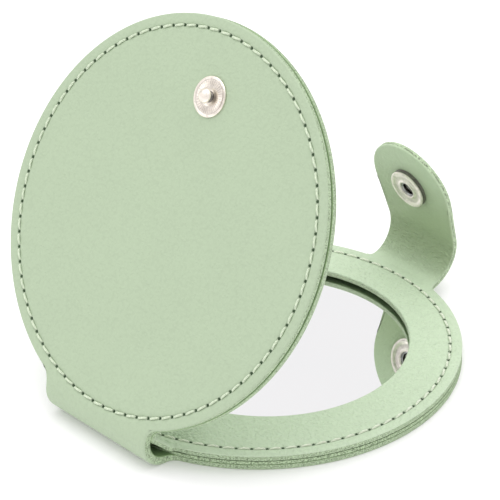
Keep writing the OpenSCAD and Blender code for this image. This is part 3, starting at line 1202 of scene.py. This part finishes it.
@dataclass
class FoldedLeather:
    """A leather that runs from one disc round the fold to the other, in one piece."""

    name: str
    thickness: float
    path: LeatherPath
    second_centre: float
    finishes: tuple[Material, Material, Material]
    windowed: bool = False
    swell: float = 0.0
    swell_at: Point = (0.0, 1.0)
    corner_steps: int = 6
    corner_growth: float = 0.9
    bend_margin: float = 5.0
    corner_margin: float = 2.0
    rim_margin: float = 1.2
    inset: float = 0.5
    swell_plateau: float = 1.4
    root_from: float = 35.0
    seam: Seam = Seam()
    mesh: Optional[Piece] = field(default=None, init=False)
    strap: Optional[Piece] = field(default=None, init=False)

    def disc(self, name: str, windowed: bool) -> Piece:
        """Draws one flat disc from its rim inwards.

        Args:
            name: The disc's name.
            windowed: Whether it has the mirror's window.

        Returns:
            The disc, centred on the origin.
        """
        if not windowed:
            return rings(name, [(r, 0.0) for r in DISC_RINGS + INNER_RINGS], COLUMNS)
        outer = DISC_RINGS[-1]
        inwards = [outer + (SIZES.window_r - outer) * share for share in WINDOW_SHARES]
        shifts = [0.0] * len(DISC_RINGS) + [SIZES.window_shift * share for share in WINDOW_SHARES]
        return rings(name, [(r, 0.0) for r in [*DISC_RINGS, *inwards]], COLUMNS, shifts)

    def neck_side(self, half: float) -> list[Point]:
        """Lists one side of the neck's outline, from the first disc to the second.

        Args:
            half: Half the neck's width on this side.

        Returns:
            Each point's distance from the middle and its place along the path.
        """
        rim = rim_place(NECK_COLUMNS)
        radius = SIZES.neck_r + (SIZES.fold_half_w - half) * self.corner_growth
        centre = (half + radius, rim[1] + math.sqrt(radius**2 - (half + radius - rim[0]) ** 2))
        first = math.atan2(rim[1] - centre[1], rim[0] - centre[0]) + 2 * math.pi
        angles = [first + (math.pi - first) * i / self.corner_steps for i in range(1, self.corner_steps + 1)]
        arc = [(centre[0] + radius * math.cos(a), centre[1] + radius * math.sin(a)) for a in angles]
        back = [(x, self.second_centre - v) for x, v in reversed(arc)]
        return [*arc, *back, (rim[0], self.second_centre - rim[1])]

    def draw_flat(self) -> None:
        """Draws both discs and the neck between them as one flat sheet."""
        self.mesh = self.disc(self.name, self.windowed)
        if self.windowed:
            self.strap = self.cut_strap_root()
        second = self.disc(self.name + "_second", False)
        apply_place(second, Matrix.Translation((0, -self.second_centre * MM, 0)))
        join(self.mesh, second)
        rim = rim_place(NECK_COLUMNS)
        for sign, half in ((1, SIZES.fold_half_w), (-1, SIZES.far_half_w)):
            side = [(sign * x, -v) for x, v in self.neck_side(half)]
            grow_chain(self.mesh, (sign * rim[0], -rim[1]), side)
        weld(self.mesh)
        x, y, _ = edge_middles(self.mesh).T
        inside = (np.abs(x) < rim[0]) & (y < -rim[1]) & (y > rim[1] - self.second_centre)
        faces = faces_at_edges(self.mesh)
        fill(self.mesh, ((faces == 1) & inside) | (faces == 0))

    def cut_strap_root(self) -> Piece:
        """Parts the strap's root from the frame, along the seam's groove.

        Returns:
            The root as a piece of its own.
        """
        column, radius = column_angles(face_middles(self.mesh), 0.0)
        before = set(bpy.data.objects)
        wanted = (np.abs(column - COLUMNS / 4) < STRAP_COLUMNS) & (radius > SIZES.stitch_r)
        choose(self.mesh, Element.FACES, wanted)
        bpy.ops.mesh.separate(type="SELECTED")
        to_object_mode()
        return next(o for o in bpy.data.objects if o not in before)

    def between(self, from_centre: float, half: float = math.inf) -> Test:
        """Makes a test of the faces between the two discs.

        Args:
            from_centre: How far from each disc's centre they lie at least.
            half: How far from the middle line they lie at most.

        Returns:
            The test, for the faces' middles.
        """
        low, high = from_centre - self.second_centre, -from_centre
        return lambda m: (np.abs(m[:, 0]) < half) & (m[:, 1] > low) & (m[:, 1] < high)

    def build(self) -> Piece:
        """Draws the leather flat, gives it its thickness and seams, and rolls it round the fold.

        Returns:
            The finished leather.
        """
        self.draw_flat()
        piece = self.mesh
        half = SIZES.fold_half_w
        bends = [-v for v in self.path.bends()]
        cut_across(piece, bends, 1, self.between(SIZES.disc_r - self.bend_margin, half + self.corner_margin))
        insets = [half - self.inset, self.inset - SIZES.far_half_w]
        cut_across(piece, insets, 0, self.between(SIZES.disc_r - self.rim_margin))
        dress_sheet(piece, self.thickness, self.finishes, self.seam_edge if self.windowed else None)
        self.seam.press(piece, (0.0, -self.second_centre))
        keep_flat_places(piece)
        places = vertex_places(piece)
        along = -places[:, 1]
        middle, reach = self.swell_at
        share = np.clip(self.swell_plateau * np.exp(-(((along - middle) / reach) ** 4)), 0, 1)
        y, z = self.path.place(along, -places[:, 2] * (1 + self.swell * share))
        move_vertices(piece, np.column_stack([places[:, 0], y, z]))
        return finish_mesh(piece)

    def seam_edge(self, middles: np.ndarray) -> np.ndarray:
        """Marks the edges where the strap's root was parted from the frame."""
        _, radius = column_angles(middles, 0.0)
        return (middles[:, 1] > self.root_from) & (radius < SIZES.disc_r - ON_LINE / 2)


@dataclass
class StrapLeather:
    """The snap strap, which carries on from the frame's leather to its round end."""

    root: Piece
    path: LeatherPath
    finishes: tuple[Material, Material, Material]
    hole_r: float = 1.95
    segments: int = 96
    fillet: tuple[Point, ...] = ((0.5, 0.28), (0.2, 0.66), (0.04, 1.1))
    body_from: float = 2.4
    body_step: float = 1.2
    body_end_gap: float = 1.0
    end_overlap: float = 6.0
    bend_margin: float = 2.2
    inset_margin: float = 0.3
    end_margin: float = 2.0
    inset: float = 0.45
    hidden_r: float = 3.0
    seam: Seam = Seam()

    def half_width(self, along: float) -> float:
        """Gives half the strap's width at a place along it.

        Args:
            along: How far from the base's centre the place lies, before the round end.

        Returns:
            Half the width. The strap flares evenly towards its round end, as seen from in front of that end.
        """
        s = SIZES
        bent = along - s.lift_y
        full = math.radians(s.bend_angle)
        angle = math.radians(min(math.degrees(max(bent, 0.0) / s.bend_r), s.bend_angle))
        root_drop = s.bend_r * math.sin(full)
        height = max(0.0, bent - s.bend_r * full) - s.bend_r * math.sin(full - angle)
        flare_length = root_drop + s.strap_reach
        to_end = math.hypot(s.strap_half_w, flare_length)
        flare = math.asin(s.strap_end_r / to_end) - math.atan2(s.strap_half_w, flare_length)
        return s.strap_half_w + math.tan(flare) * (max(height, -root_drop) + root_drop)

    def draw_flat(self) -> None:
        """Draws the root, the body and the round end as one flat sheet."""
        s = SIZES
        piece, centre, end_r = self.root, s.strap_centre(), s.strap_end_r
        end_radii = (end_r, end_r - 0.5, 8.0, 5.0, self.hole_r + 0.2, self.hole_r)
        end = rings("strap_end", [(r, 0.0) for r in end_radii], self.segments, [centre] * len(end_radii))
        join(piece, end)
        rim = rim_place(STRAP_COLUMNS)
        touch_index = round((90 + self.end_overlap) / (360 / self.segments))
        touch = math.radians(90 - touch_index * 360 / self.segments)
        last = (end_r * math.cos(touch), centre + end_r * math.sin(touch))
        fillet = [(s.strap_half_w + (rim[0] - s.strap_half_w) * f, rim[1] + up) for f, up in self.fillet]
        steps = np.arange(s.lift_y + self.body_from, last[1] - self.body_end_gap, self.body_step)
        body = [(self.half_width(v), v) for v in steps]
        for sign in (1, -1):
            grow_chain(piece, (sign * rim[0], rim[1]), [(sign * x, y) for x, y in [*fillet, *body, last]])
        weld(piece)
        middles = edge_middles(piece)
        x, y, _ = middles.T
        _, radius = column_angles(middles, 0.0)
        _, end_radius = column_angles(middles, centre)
        root_arc = (radius > s.disc_r - ON_LINE) & (y < s.disc_r + 0.5) & (np.abs(x) < rim[0])
        end_arc = (y < last[1]) & (np.abs(end_radius - end_r) < 0.05)
        faces = faces_at_edges(piece)
        fill(piece, ((faces == 1) & (root_arc | end_arc)) | (faces == 0))

    def beyond(self, low: float) -> Test:
        """Makes a test of the faces from a place along the strap up to its round end."""
        high = SIZES.strap_centre() - self.end_margin
        return lambda m: (m[:, 1] > low) & (m[:, 1] < high)

    def build(self) -> Piece:
        """Draws the strap flat from its root, then bends it up behind the mirror.

        Returns:
            The finished strap.
        """
        s = SIZES
        piece = self.root
        piece.name = "strap"
        self.draw_flat()
        cut_across(piece, self.path.bends(), 1, self.beyond(s.disc_r - self.bend_margin))
        inset = s.strap_half_w - self.inset
        cut_across(piece, [inset, -inset], 0, self.beyond(s.disc_r + self.inset_margin))
        dress_sheet(piece, s.inner_t, self.finishes, self.seam_edge)
        self.seam.press(piece, (0.0,))
        keep_flat_places(piece)
        places = vertex_places(piece)
        y, z = self.path.place(places[:, 1], -places[:, 2])
        move_vertices(piece, np.column_stack([places[:, 0], y, z]))
        return finish_mesh(piece)

    def seam_edge(self, middles: np.ndarray) -> np.ndarray:
        """Marks the edges that stay sharp.

        Args:
            middles: The middle of each edge.

        Returns:
            True where the strap joins the frame, and round its hidden hole.
        """
        _, radius = column_angles(middles, 0.0)
        _, from_end = column_angles(middles, SIZES.strap_centre())
        return (radius < SIZES.disc_r - ON_LINE / 2) | (from_end < self.hidden_r)


# Thread


@dataclass
class Stitching:
    """The visible stitches on both faces of one sewn disc."""

    name: str
    faces: Sequence[tuple[Matrix, float]]
    finish: Material
    length: float = 2.5
    dive: float = 0.42
    slant: float = 0.12
    flatness: float = 0.9
    dive_power: float = 3.4

    def stitch(self) -> Piece:
        """Models one stitch as a stretched bead whose ends dive into their holes.

        Returns:
            The stitch, along X at the origin.
        """
        to_object_mode()
        bpy.ops.object.select_all(action="DESELECT")
        along_x = (0, math.pi / 2, 0)
        bpy.ops.mesh.primitive_uv_sphere_add(segments=8, ring_count=9, radius=MM, rotation=along_x)
        bead = bpy.context.active_object
        bead.name = self.name
        bpy.ops.object.transform_apply(location=True, rotation=True, scale=True)
        places = vertex_places(bead)
        share = places[:, 0].copy()
        from_middle = np.abs(share)
        body = np.sqrt(np.maximum(1 - from_middle**5, 0.0) / np.maximum(1 - share**2, 1e-6))
        body = np.where(from_middle > 0.999, 0.0, body) * SIZES.thread_d / 2
        places[:, 0] = share * self.length / 2
        places[:, 1] = places[:, 1] * body + self.slant * share
        places[:, 2] = places[:, 2] * body * self.flatness - self.dive * from_middle**self.dive_power
        move_vertices(bead, places)
        bead.data.uv_layers[0].name = "thread"
        return bead

    def ring(self, height: float) -> Piece:
        """Sets one stitch after another round the disc.

        Args:
            height: How high the thread's middle lies.

        Returns:
            All the stitches of one face.
        """
        bead = self.stitch()
        step = 2 * math.pi / SIZES.stitches
        place = Matrix.Rotation(step / 2, 4, "Z") @ Matrix.Translation((SIZES.stitch_r * MM, 0, height * MM))
        apply_place(bead, place @ Matrix.Rotation(math.pi / 2, 4, "Z"))
        bpy.ops.object.empty_add(location=(0, 0, 0), rotation=(0, 0, step))
        turn = bpy.context.active_object
        only(bead)
        bpy.ops.object.modifier_add(type="ARRAY")
        row = bead.modifiers[-1]
        row.count = SIZES.stitches
        row.use_relative_offset = False
        row.use_object_offset = True
        row.offset_object = turn
        bpy.ops.object.modifier_apply(modifier=row.name)
        bpy.data.objects.remove(turn)
        return bead

    def build(self) -> Piece:
        """Sews both faces.

        Returns:
            All the stitches as one piece.
        """
        half = SIZES.thread_d / 2
        piece = join(*[apply_place(self.ring(rise - half), face) for face, rise in self.faces])
        piece.name = self.name
        clad(piece, self.finish)
        return finish_mesh(piece, 180.0)


# Snap


def turned_part(name: str, profile: Sequence[Point], segments: int, finish: Material, place: Matrix) -> Piece:
    """Turns a closed round part from its profile.

    Args:
        name: The part's name.
        profile: Radius and height from the first loop to the last. It ends where it starts, or its ends are
            closed flat or at a point.
        segments: How many faces it has round.
        finish: Its material.
        place: Where it goes.

    Returns:
        The part, in place.
    """
    part = rings(name, profile, segments)
    if profile[0] == profile[-1]:
        weld(part, 0.001)
    border = faces_at_edges(part) == 1
    if border.any():
        fill(part, border)
    clad(part, finish)
    keep_flat_places(part)
    finish_mesh(part, TURNED_SMOOTH)
    return apply_place(part, place)


STUD_PROFILE = (
    ((3.7, 0.0), (3.97, 0.02), (4.0, 0.12), (3.98, 0.32), (3.86, 0.45), (3.68, 0.49), (3.52, 0.44))
    + ((3.42, 0.34), (3.3, 0.31), (2.7, 0.34), (2.0, 0.38), (1.75, 0.42), (1.55, 0.36), (1.3, 0.34))
    + ((1.0, 0.42), (0.84, 0.62), (0.8, 0.9), (0.82, 1.18), (1.02, 1.32), (1.34, 1.43), (1.45, 1.58))
    + ((1.42, 1.8), (1.26, 2.0), (0.98, 2.16), (0.58, 2.27), (0.2, 2.3), (0.0, 2.3))
)
SOCKET_PROFILE = (
    ((2.1, 0.0), (4.2, 0.0), (4.32, 0.08), (4.32, 0.25), (4.24, 0.33), (4.24, 0.82), (4.34, 0.9))
    + ((4.33, 1.05), (4.22, 1.17), (4.02, 1.2), (3.72, 1.18), (3.5, 1.08), (3.32, 0.98), (3.05, 0.95))
    + ((2.5, 0.96), (2.3, 1.0), (2.14, 1.1), (1.98, 1.17), (1.86, 1.17), (1.74, 1.1), (1.66, 0.98))
    + ((1.62, 0.62), (1.95, 0.6), (1.95, 0.14), (2.1, 0.12), (2.1, 0.0))
)
CAP_PROFILE = (
    ((1.9, 0.24), (1.9, -1.22), (2.1, -1.25), (4.7, -1.25), (4.95, -1.27), (5.0, -1.36), (4.93, -1.47))
    + ((4.6, -1.6), (4.0, -1.76), (3.2, -1.93), (2.2, -2.07), (1.1, -2.14), (0.0, -2.15))
)


@dataclass
class Stud:
    """The stud on the cover: a serrated flange with a raised rim, and a post with a domed head."""

    finish: Material
    segments: int = 144
    ridge_height: float = 0.07
    ridge_radii: Point = (1.9, 3.35)
    flange_heights: Point = (0.25, 0.5)
    smooth_angle: float = 50.0

    def build(self) -> Piece:
        """Turns the stud and raises the flange's serrations.

        Returns:
            The stud, in place.
        """
        part = turned_part("stud", STUD_PROFILE, self.segments, self.finish, Matrix.Identity(4))
        places = vertex_places(part)
        x, y, height = places.T
        turn = np.round(np.arctan2(y, x) * self.segments / (2 * math.pi)).astype(int)
        radius = np.hypot(x, y)
        (inner, outer), (low, high) = self.ridge_radii, self.flange_heights
        ridge = (turn % 2 == 0) & (radius > inner) & (radius < outer) & (height > low) & (height < high)
        places[ridge, 2] += self.ridge_height
        move_vertices(part, places)
        only(part)
        bpy.ops.object.shade_smooth_by_angle(angle=math.radians(self.smooth_angle))
        return apply_place(part, SIZES.stud_place())


@dataclass
class Socket:
    """The socket on the strap: a drum with a rolled rim, a sunk ring and a raised lip round its mouth."""

    finish: Material
    segments: int = 96

    def build(self) -> Piece:
        """Turns the socket as one closed ring round its mouth."""
        return turned_part("socket", SOCKET_PROFILE, self.segments, self.finish, SIZES.socket_place())


@dataclass
class Cap:
    """The domed cap on the strap's outer face, with its post through the strap."""

    finish: Material
    segments: int = 96

    def build(self) -> Piece:
        """Turns the cap."""
        return turned_part("cap", CAP_PROFILE, self.segments, self.finish, SIZES.socket_place())


@dataclass
class MirrorPlate:
    """The mirror's round glass with its ground bevel."""

    finish: Material
    segments: int = 192
    gap: float = 0.01
    bevel: float = 0.12

    def build(self) -> Piece:
        """Turns the plate just clear of the silvering and of the frame.

        Returns:
            The plate, in place.
        """
        s = SIZES
        low, high = s.silver_z + self.gap, s.glass_top - self.gap
        inside, rim = s.mirror_r - self.bevel, s.mirror_r
        profile = [(inside, low), (rim, low + self.bevel / 2), (rim, high - self.bevel), (inside, high)]
        place = Matrix.Translation((0, s.window_shift * MM, 0))
        return turned_part("mirror_plate", profile, self.segments, self.finish, place)


# Studio


@dataclass(frozen=True)
class PhotoCamera:
    """The camera at the photograph's viewing angle."""

    azimuth: float = 47.48
    elevation: float = 31.37
    roll: float = -0.69
    lens: float = 288.0
    sensor: float = 36.0
    sight: tuple[float, float] = (0.01, 20.0)
    place: tuple[float, float, float] = (0.49119159, -0.45293288, 0.43207972)

    def build(self) -> Piece:
        """Sets up the camera.

        Returns:
            The scene's camera.
        """
        a, e, r = (math.radians(v) for v in (self.azimuth, self.elevation, self.roll))
        back = Vector((math.sin(a) * math.cos(e), -math.cos(a) * math.cos(e), math.sin(e)))
        level = (-back).cross(Vector((0, 0, 1))).normalized()
        upright = level.cross(-back)
        right = math.cos(r) * level + math.sin(r) * upright
        up = math.cos(r) * upright - math.sin(r) * level
        data = bpy.data.cameras.new("photo_camera")
        data.lens = self.lens
        data.sensor_width = self.sensor
        data.clip_start, data.clip_end = self.sight
        camera = bpy.data.objects.new("photo_camera", data)
        bpy.context.scene.collection.objects.link(camera)
        turn = Matrix((right, up, back)).transposed().to_4x4()
        camera.matrix_world = Matrix.Translation(self.place) @ turn
        bpy.context.scene.camera = camera
        return camera


@dataclass(frozen=True)
class AreaLight:
    """A soft box that shines at the object."""

    name: str
    place: tuple[float, float, float]
    size: float
    power: float
    aim: tuple[float, float, float] = (0.0, 0.0, 0.03)

    def build(self) -> Piece:
        """Hangs the light and aims it.

        Returns:
            The light.
        """
        data = bpy.data.lights.new(self.name, "AREA")
        data.shape = "DISK"
        data.size = self.size
        data.energy = self.power
        lamp = bpy.data.objects.new(self.name, data)
        bpy.context.scene.collection.objects.link(lamp)
        turn = (Vector(self.aim) - Vector(self.place)).to_track_quat("-Z", "Y").to_matrix().to_4x4()
        lamp.matrix_world = Matrix.Translation(self.place) @ turn
        return lamp


@dataclass
class Studio:
    """The white table, the even surroundings and the soft lights."""

    surroundings: tuple[float, float, float] = (0.905, 0.89, 0.905)
    strength: float = 1.0
    table_size: float = 6.0
    table_z: float = -0.00002
    lights: tuple[AreaLight, ...] = (
        AreaLight("overhead", (-0.1, 0.1, 1.15), 1.5, 7.0),
        AreaLight("front", (-0.7, -0.55, 0.7), 0.6, 0.9),
    )

    def build(self) -> None:
        """Builds the table, the surroundings and the lights."""
        scene = bpy.context.scene
        scene.view_settings.view_transform = "Standard"
        world = bpy.data.worlds.new("studio")
        world.use_nodes = True
        shade = world.node_tree.nodes["Background"]
        shade.inputs["Color"].default_value = (*self.surroundings, 1.0)
        shade.inputs["Strength"].default_value = self.strength
        scene.world = world
        to_object_mode()
        bpy.ops.object.select_all(action="DESELECT")
        bpy.ops.mesh.primitive_plane_add(size=self.table_size, location=(0, 0, self.table_z))
        table = bpy.context.active_object
        table.name = "table"
        bpy.ops.object.transform_apply(location=True, rotation=True, scale=True)
        table.data.materials.append(TABLE_WHITE.material())
        for light in self.lights:
            light.build()


# The whole


@dataclass
class PocketMirror:
    """Everything that the picture shows of the mirror in its leather case."""

    cover_green: Colour = (177, 195, 165)
    frame_green: Colour = (199, 217, 188)
    edge_green: Colour = (182, 203, 167)
    suede_green: Colour = (158, 188, 138)
    cover_thread: Colour = (232, 247, 217)
    # The base's thread is the same thread as the cover's, painted paler as painted light where it lies in the
    # cover's shade.
    base_thread: Colour = (246, 255, 232)
    strap_edge_green: Colour = (196, 217, 180)
    board_green: Colour = (176, 198, 160)
    card_green: Colour = (140, 158, 126)
    tape_white: Colour = (226, 223, 214)
    stud_nickel: Colour = (252, 244, 232)
    socket_nickel: Colour = (232, 226, 218)
    cap_nickel: Colour = (228, 225, 221)
    rivet_nickel: Colour = (208, 204, 198)
    spring_wire: Colour = (176, 176, 178)
    crease_radius: float = 0.15
    frame_rise: float = 0.31
    underside_rise: float = 0.0
    cover_rise: float = 0.34
    lining_rise: float = 0.16

    def outer_path(self) -> LeatherPath:
        """Gives the path of the outer leather's grain side.

        Returns:
            The path under the base, round the fold and up the cover.
        """
        s = SIZES
        turn, angle = 180 - s.open_angle, math.radians(s.open_angle)
        from_axis = s.shut_h - s.fold_z
        face = (s.fold_y - from_axis * math.sin(angle), s.fold_z + from_axis * math.cos(angle))
        corner = face[0] - face[1] / math.tan(angle)
        tangent = s.loop_r * math.tan(math.radians(turn / 2))
        up_cover = math.hypot(face[0] - corner, face[1]) - tangent - s.fold_y - s.cover_shift
        arc = Stretch(s.loop_r * math.radians(turn), -turn)
        stretches = (Stretch(-corner - tangent), arc, Stretch(up_cover))
        return LeatherPath((0.0, 0.0), 180.0, stretches, Side.RIGHT)

    def inner_path(self) -> LeatherPath:
        """Gives the path of the inner leather's grain side.

        Returns:
            The path over the base, up to the crease and up the lining.
        """
        s = SIZES
        from_axis = (-s.fold_y - s.cover_shift - s.disc_r + s.lining_inset, s.lining_z - s.fold_z)
        angle = math.radians(s.open_angle)
        crease_y = s.fold_y + from_axis[0] * math.cos(angle) - from_axis[1] * math.sin(angle)
        crease_z = s.fold_z + from_axis[0] * math.sin(angle) + from_axis[1] * math.cos(angle)
        run, climb = -s.climb_y - crease_y, crease_z - s.base_h
        bend_r = s.climb_bend_r
        straight = math.sqrt(run**2 + climb**2 - 2 * bend_r * climb)
        slope = 2 * math.atan2(climb, run + straight)
        fold = math.radians(180 - s.open_angle) - slope
        trim = self.crease_radius * math.tan(fold / 2)
        stretches = (
            Stretch(s.climb_y),
            Stretch(bend_r * slope, -math.degrees(slope)),
            Stretch(straight - trim),
            Stretch(self.crease_radius * fold, -math.degrees(fold)),
            Stretch(s.disc_r - s.lining_inset - trim),
        )
        return LeatherPath((0.0, s.base_h), 180.0, stretches, Side.LEFT)

    def strap_path(self) -> LeatherPath:
        """Gives the path of the strap's inner face.

        Returns:
            The path over the base and up round the bend.
        """
        s = SIZES
        bend = Stretch(s.bend_r * math.radians(s.bend_angle), s.bend_angle)
        stretches = (Stretch(s.lift_y), bend, Stretch(s.strap_reach))
        return LeatherPath((0.0, s.base_h), 0.0, stretches, Side.RIGHT)

    def leathers(self) -> None:
        """Builds the outer leather, the inner leather and the strap."""
        s = SIZES
        outer_path, inner_path = self.outer_path(), self.inner_path()
        outer_end, inner_end = outer_path.length(), inner_path.length()
        edge = CutEdgeFinish("cut_edge", self.edge_green).material()
        suede = SuedeFinish("leather_back", self.suede_green).material()
        outer_grain = GrainFinish("outer_leather", self.cover_green, outer_end).material()
        # Painted shade beside the fold on the inner leather, and along the bend of the strap.
        shaded_inner_grain = GrainFinish("inner_leather", self.frame_green, inner_end, pebble_depth=0.18, fold_shade_and_grain=0.75)
        inner_grain = shaded_inner_grain.material()
        strap_grain = GrainFinish("strap_leather", self.frame_green, 0.0, folds=0.2, strap_shade=0.81).material()
        strap_edge = CutEdgeFinish("strap_edge", self.strap_edge_green, glue_line=0.62).material()
        flat_run, bend, _ = (stretch.length for stretch in outer_path.stretches)
        outer = FoldedLeather("outer_leather", s.outer_t, outer_path, outer_end, (outer_grain, suede, edge))
        outer.swell, outer.swell_at = s.fold_swell, (flat_run + bend / 2, bend / 2 + 0.9)
        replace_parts(outer.build(), "base_outer_leather", "fold_outer_leather", "cover_outer_leather")
        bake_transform(outer.mesh)
        LOG.info("outer leather: %d faces", len(outer.mesh.data.polygons))
        inner = FoldedLeather("inner_leather", s.inner_t, inner_path, inner_end, (inner_grain, suede, edge))
        inner.windowed = True
        climb = sum(stretch.length for stretch in inner_path.stretches[1:3])
        inner.swell, inner.swell_at = -s.climb_thinning, (s.climb_y + climb / 2, climb / 2 + 0.3)
        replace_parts(inner.build(), "mirror_frame_leather", "fold_inner_leather", "cover_lining")
        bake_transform(inner.mesh)
        LOG.info("inner leather: %d faces", len(inner.mesh.data.polygons))
        strap = StrapLeather(inner.strap, self.strap_path(), (strap_grain, outer_grain, strap_edge)).build()
        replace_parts(strap, "strap_root_facing", "strap_root_backing", "strap_facing", "strap_backing")
        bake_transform(strap)
        LOG.info("strap: %d faces", len(strap.data.polygons))

    def stitching(self) -> None:
        """Sews both discs, each on its two faces."""
        s = SIZES
        thread = ThreadFinish("cover_thread", self.cover_thread).material()
        # The base's thread is painted paler, as painted light.
        base_thread = ThreadFinish("base_thread", self.base_thread).material()
        over = Matrix.Rotation(math.pi, 4, "X")
        on_frame = Matrix.Translation((0, 0, s.base_h * MM))
        base_faces = ((on_frame, self.frame_rise), (over, self.underside_rise))
        base = Stitching("base_stitching", base_faces, base_thread).build()
        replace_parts(base, "base_thread")
        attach(base, "base")
        cover_at = s.cover_place()
        top = cover_at @ Matrix.Translation((0, -s.cover_shift * MM, s.shut_h * MM))
        low = cover_at @ Matrix.Translation((0, -s.cover_shift * MM, s.lining_z * MM)) @ over
        cover_faces = ((top, self.cover_rise), (low, self.lining_rise))
        cover = Stitching("cover_stitching", cover_faces, thread).build()
        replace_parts(cover, "cover_thread")
        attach(cover, "cover")
        LOG.info("stitching: %d faces", len(base.data.polygons) + len(cover.data.polygons))

    def hardware(self) -> None:
        """Builds the snap and the mirror."""
        # Painted shade and painted dark reflections round the stud's head, waist, serrations and flange edge,
        # and in the socket's mouth, sunk ring and wall.
        stud_shade = MetalShade(
            bands=((0.9, 0.36, 0.9), (3.36, 0.16, 0.25)),
            bands_below=1.4,
            ridges=36,
            ridge_from=1.8,
            ridge_to=3.3,
            wall_below=0.1,
        )
        socket_shade = MetalShade(((1.3, 0.48, 0.96), (2.85, 0.6, 0.2)), wall_below=0.86)
        stud_metal = MetalFinish("stud_nickel", self.stud_nickel, 0.3, painted_shade=stud_shade).material()
        socket_metal = MetalFinish("socket_nickel", self.socket_nickel, 0.3, painted_shade=socket_shade).material()
        bright = MetalFinish("cap_nickel", self.cap_nickel, 0.16, marks=0.03, dulled=0.1).material()
        stud = Stud(stud_metal).build()
        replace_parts(stud, "snap_stud")
        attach(stud, "cover")
        socket = Socket(socket_metal).build()
        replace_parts(socket, "snap_socket")
        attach(socket, "strap")
        cap = Cap(bright).build()
        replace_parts(cap, "snap_cap")
        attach(cap, "strap")
        plate = MirrorPlate(GLASS.material()).build()
        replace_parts(plate, "mirror_glass")
        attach(plate, "base")
        LOG.info("snap and mirror plate in place")

    def carried_over(self) -> None:
        """Gives the model's own nodes that stay their finishes."""
        board_seams = (SIZES.outer_t, SIZES.glass_top)
        finishes = {
            "base_board": BoardFinish("board_edge", self.board_green, board_seams).material(),
            "cover_card": BoardFinish("card", self.card_green).material(),
            "mirror_tape": BoardFinish("tape", self.tape_white).material(),
            "mirror_silvering": SILVERING.material(),
            "stud_rivet": MetalFinish("rivet_nickel", self.rivet_nickel, 0.3).material(),
            "socket_spring": MetalFinish("spring_wire", self.spring_wire, 0.25).material(),
        }
        for name, finish in finishes.items():
            clad(frame["nodes"][name], finish)
            LOG.info("%s: finish %s", name, finish.name)


def main() -> None:
    """Builds the camera, the studio and the mirror in its case."""
    logging.basicConfig(level=logging.INFO, format="%(message)s")
    PhotoCamera().build()
    Studio().build()
    case = PocketMirror()
    case.leathers()
    case.stitching()
    case.hardware()
    case.carried_over()
    to_object_mode()


if __name__ == "__main__":
    main()
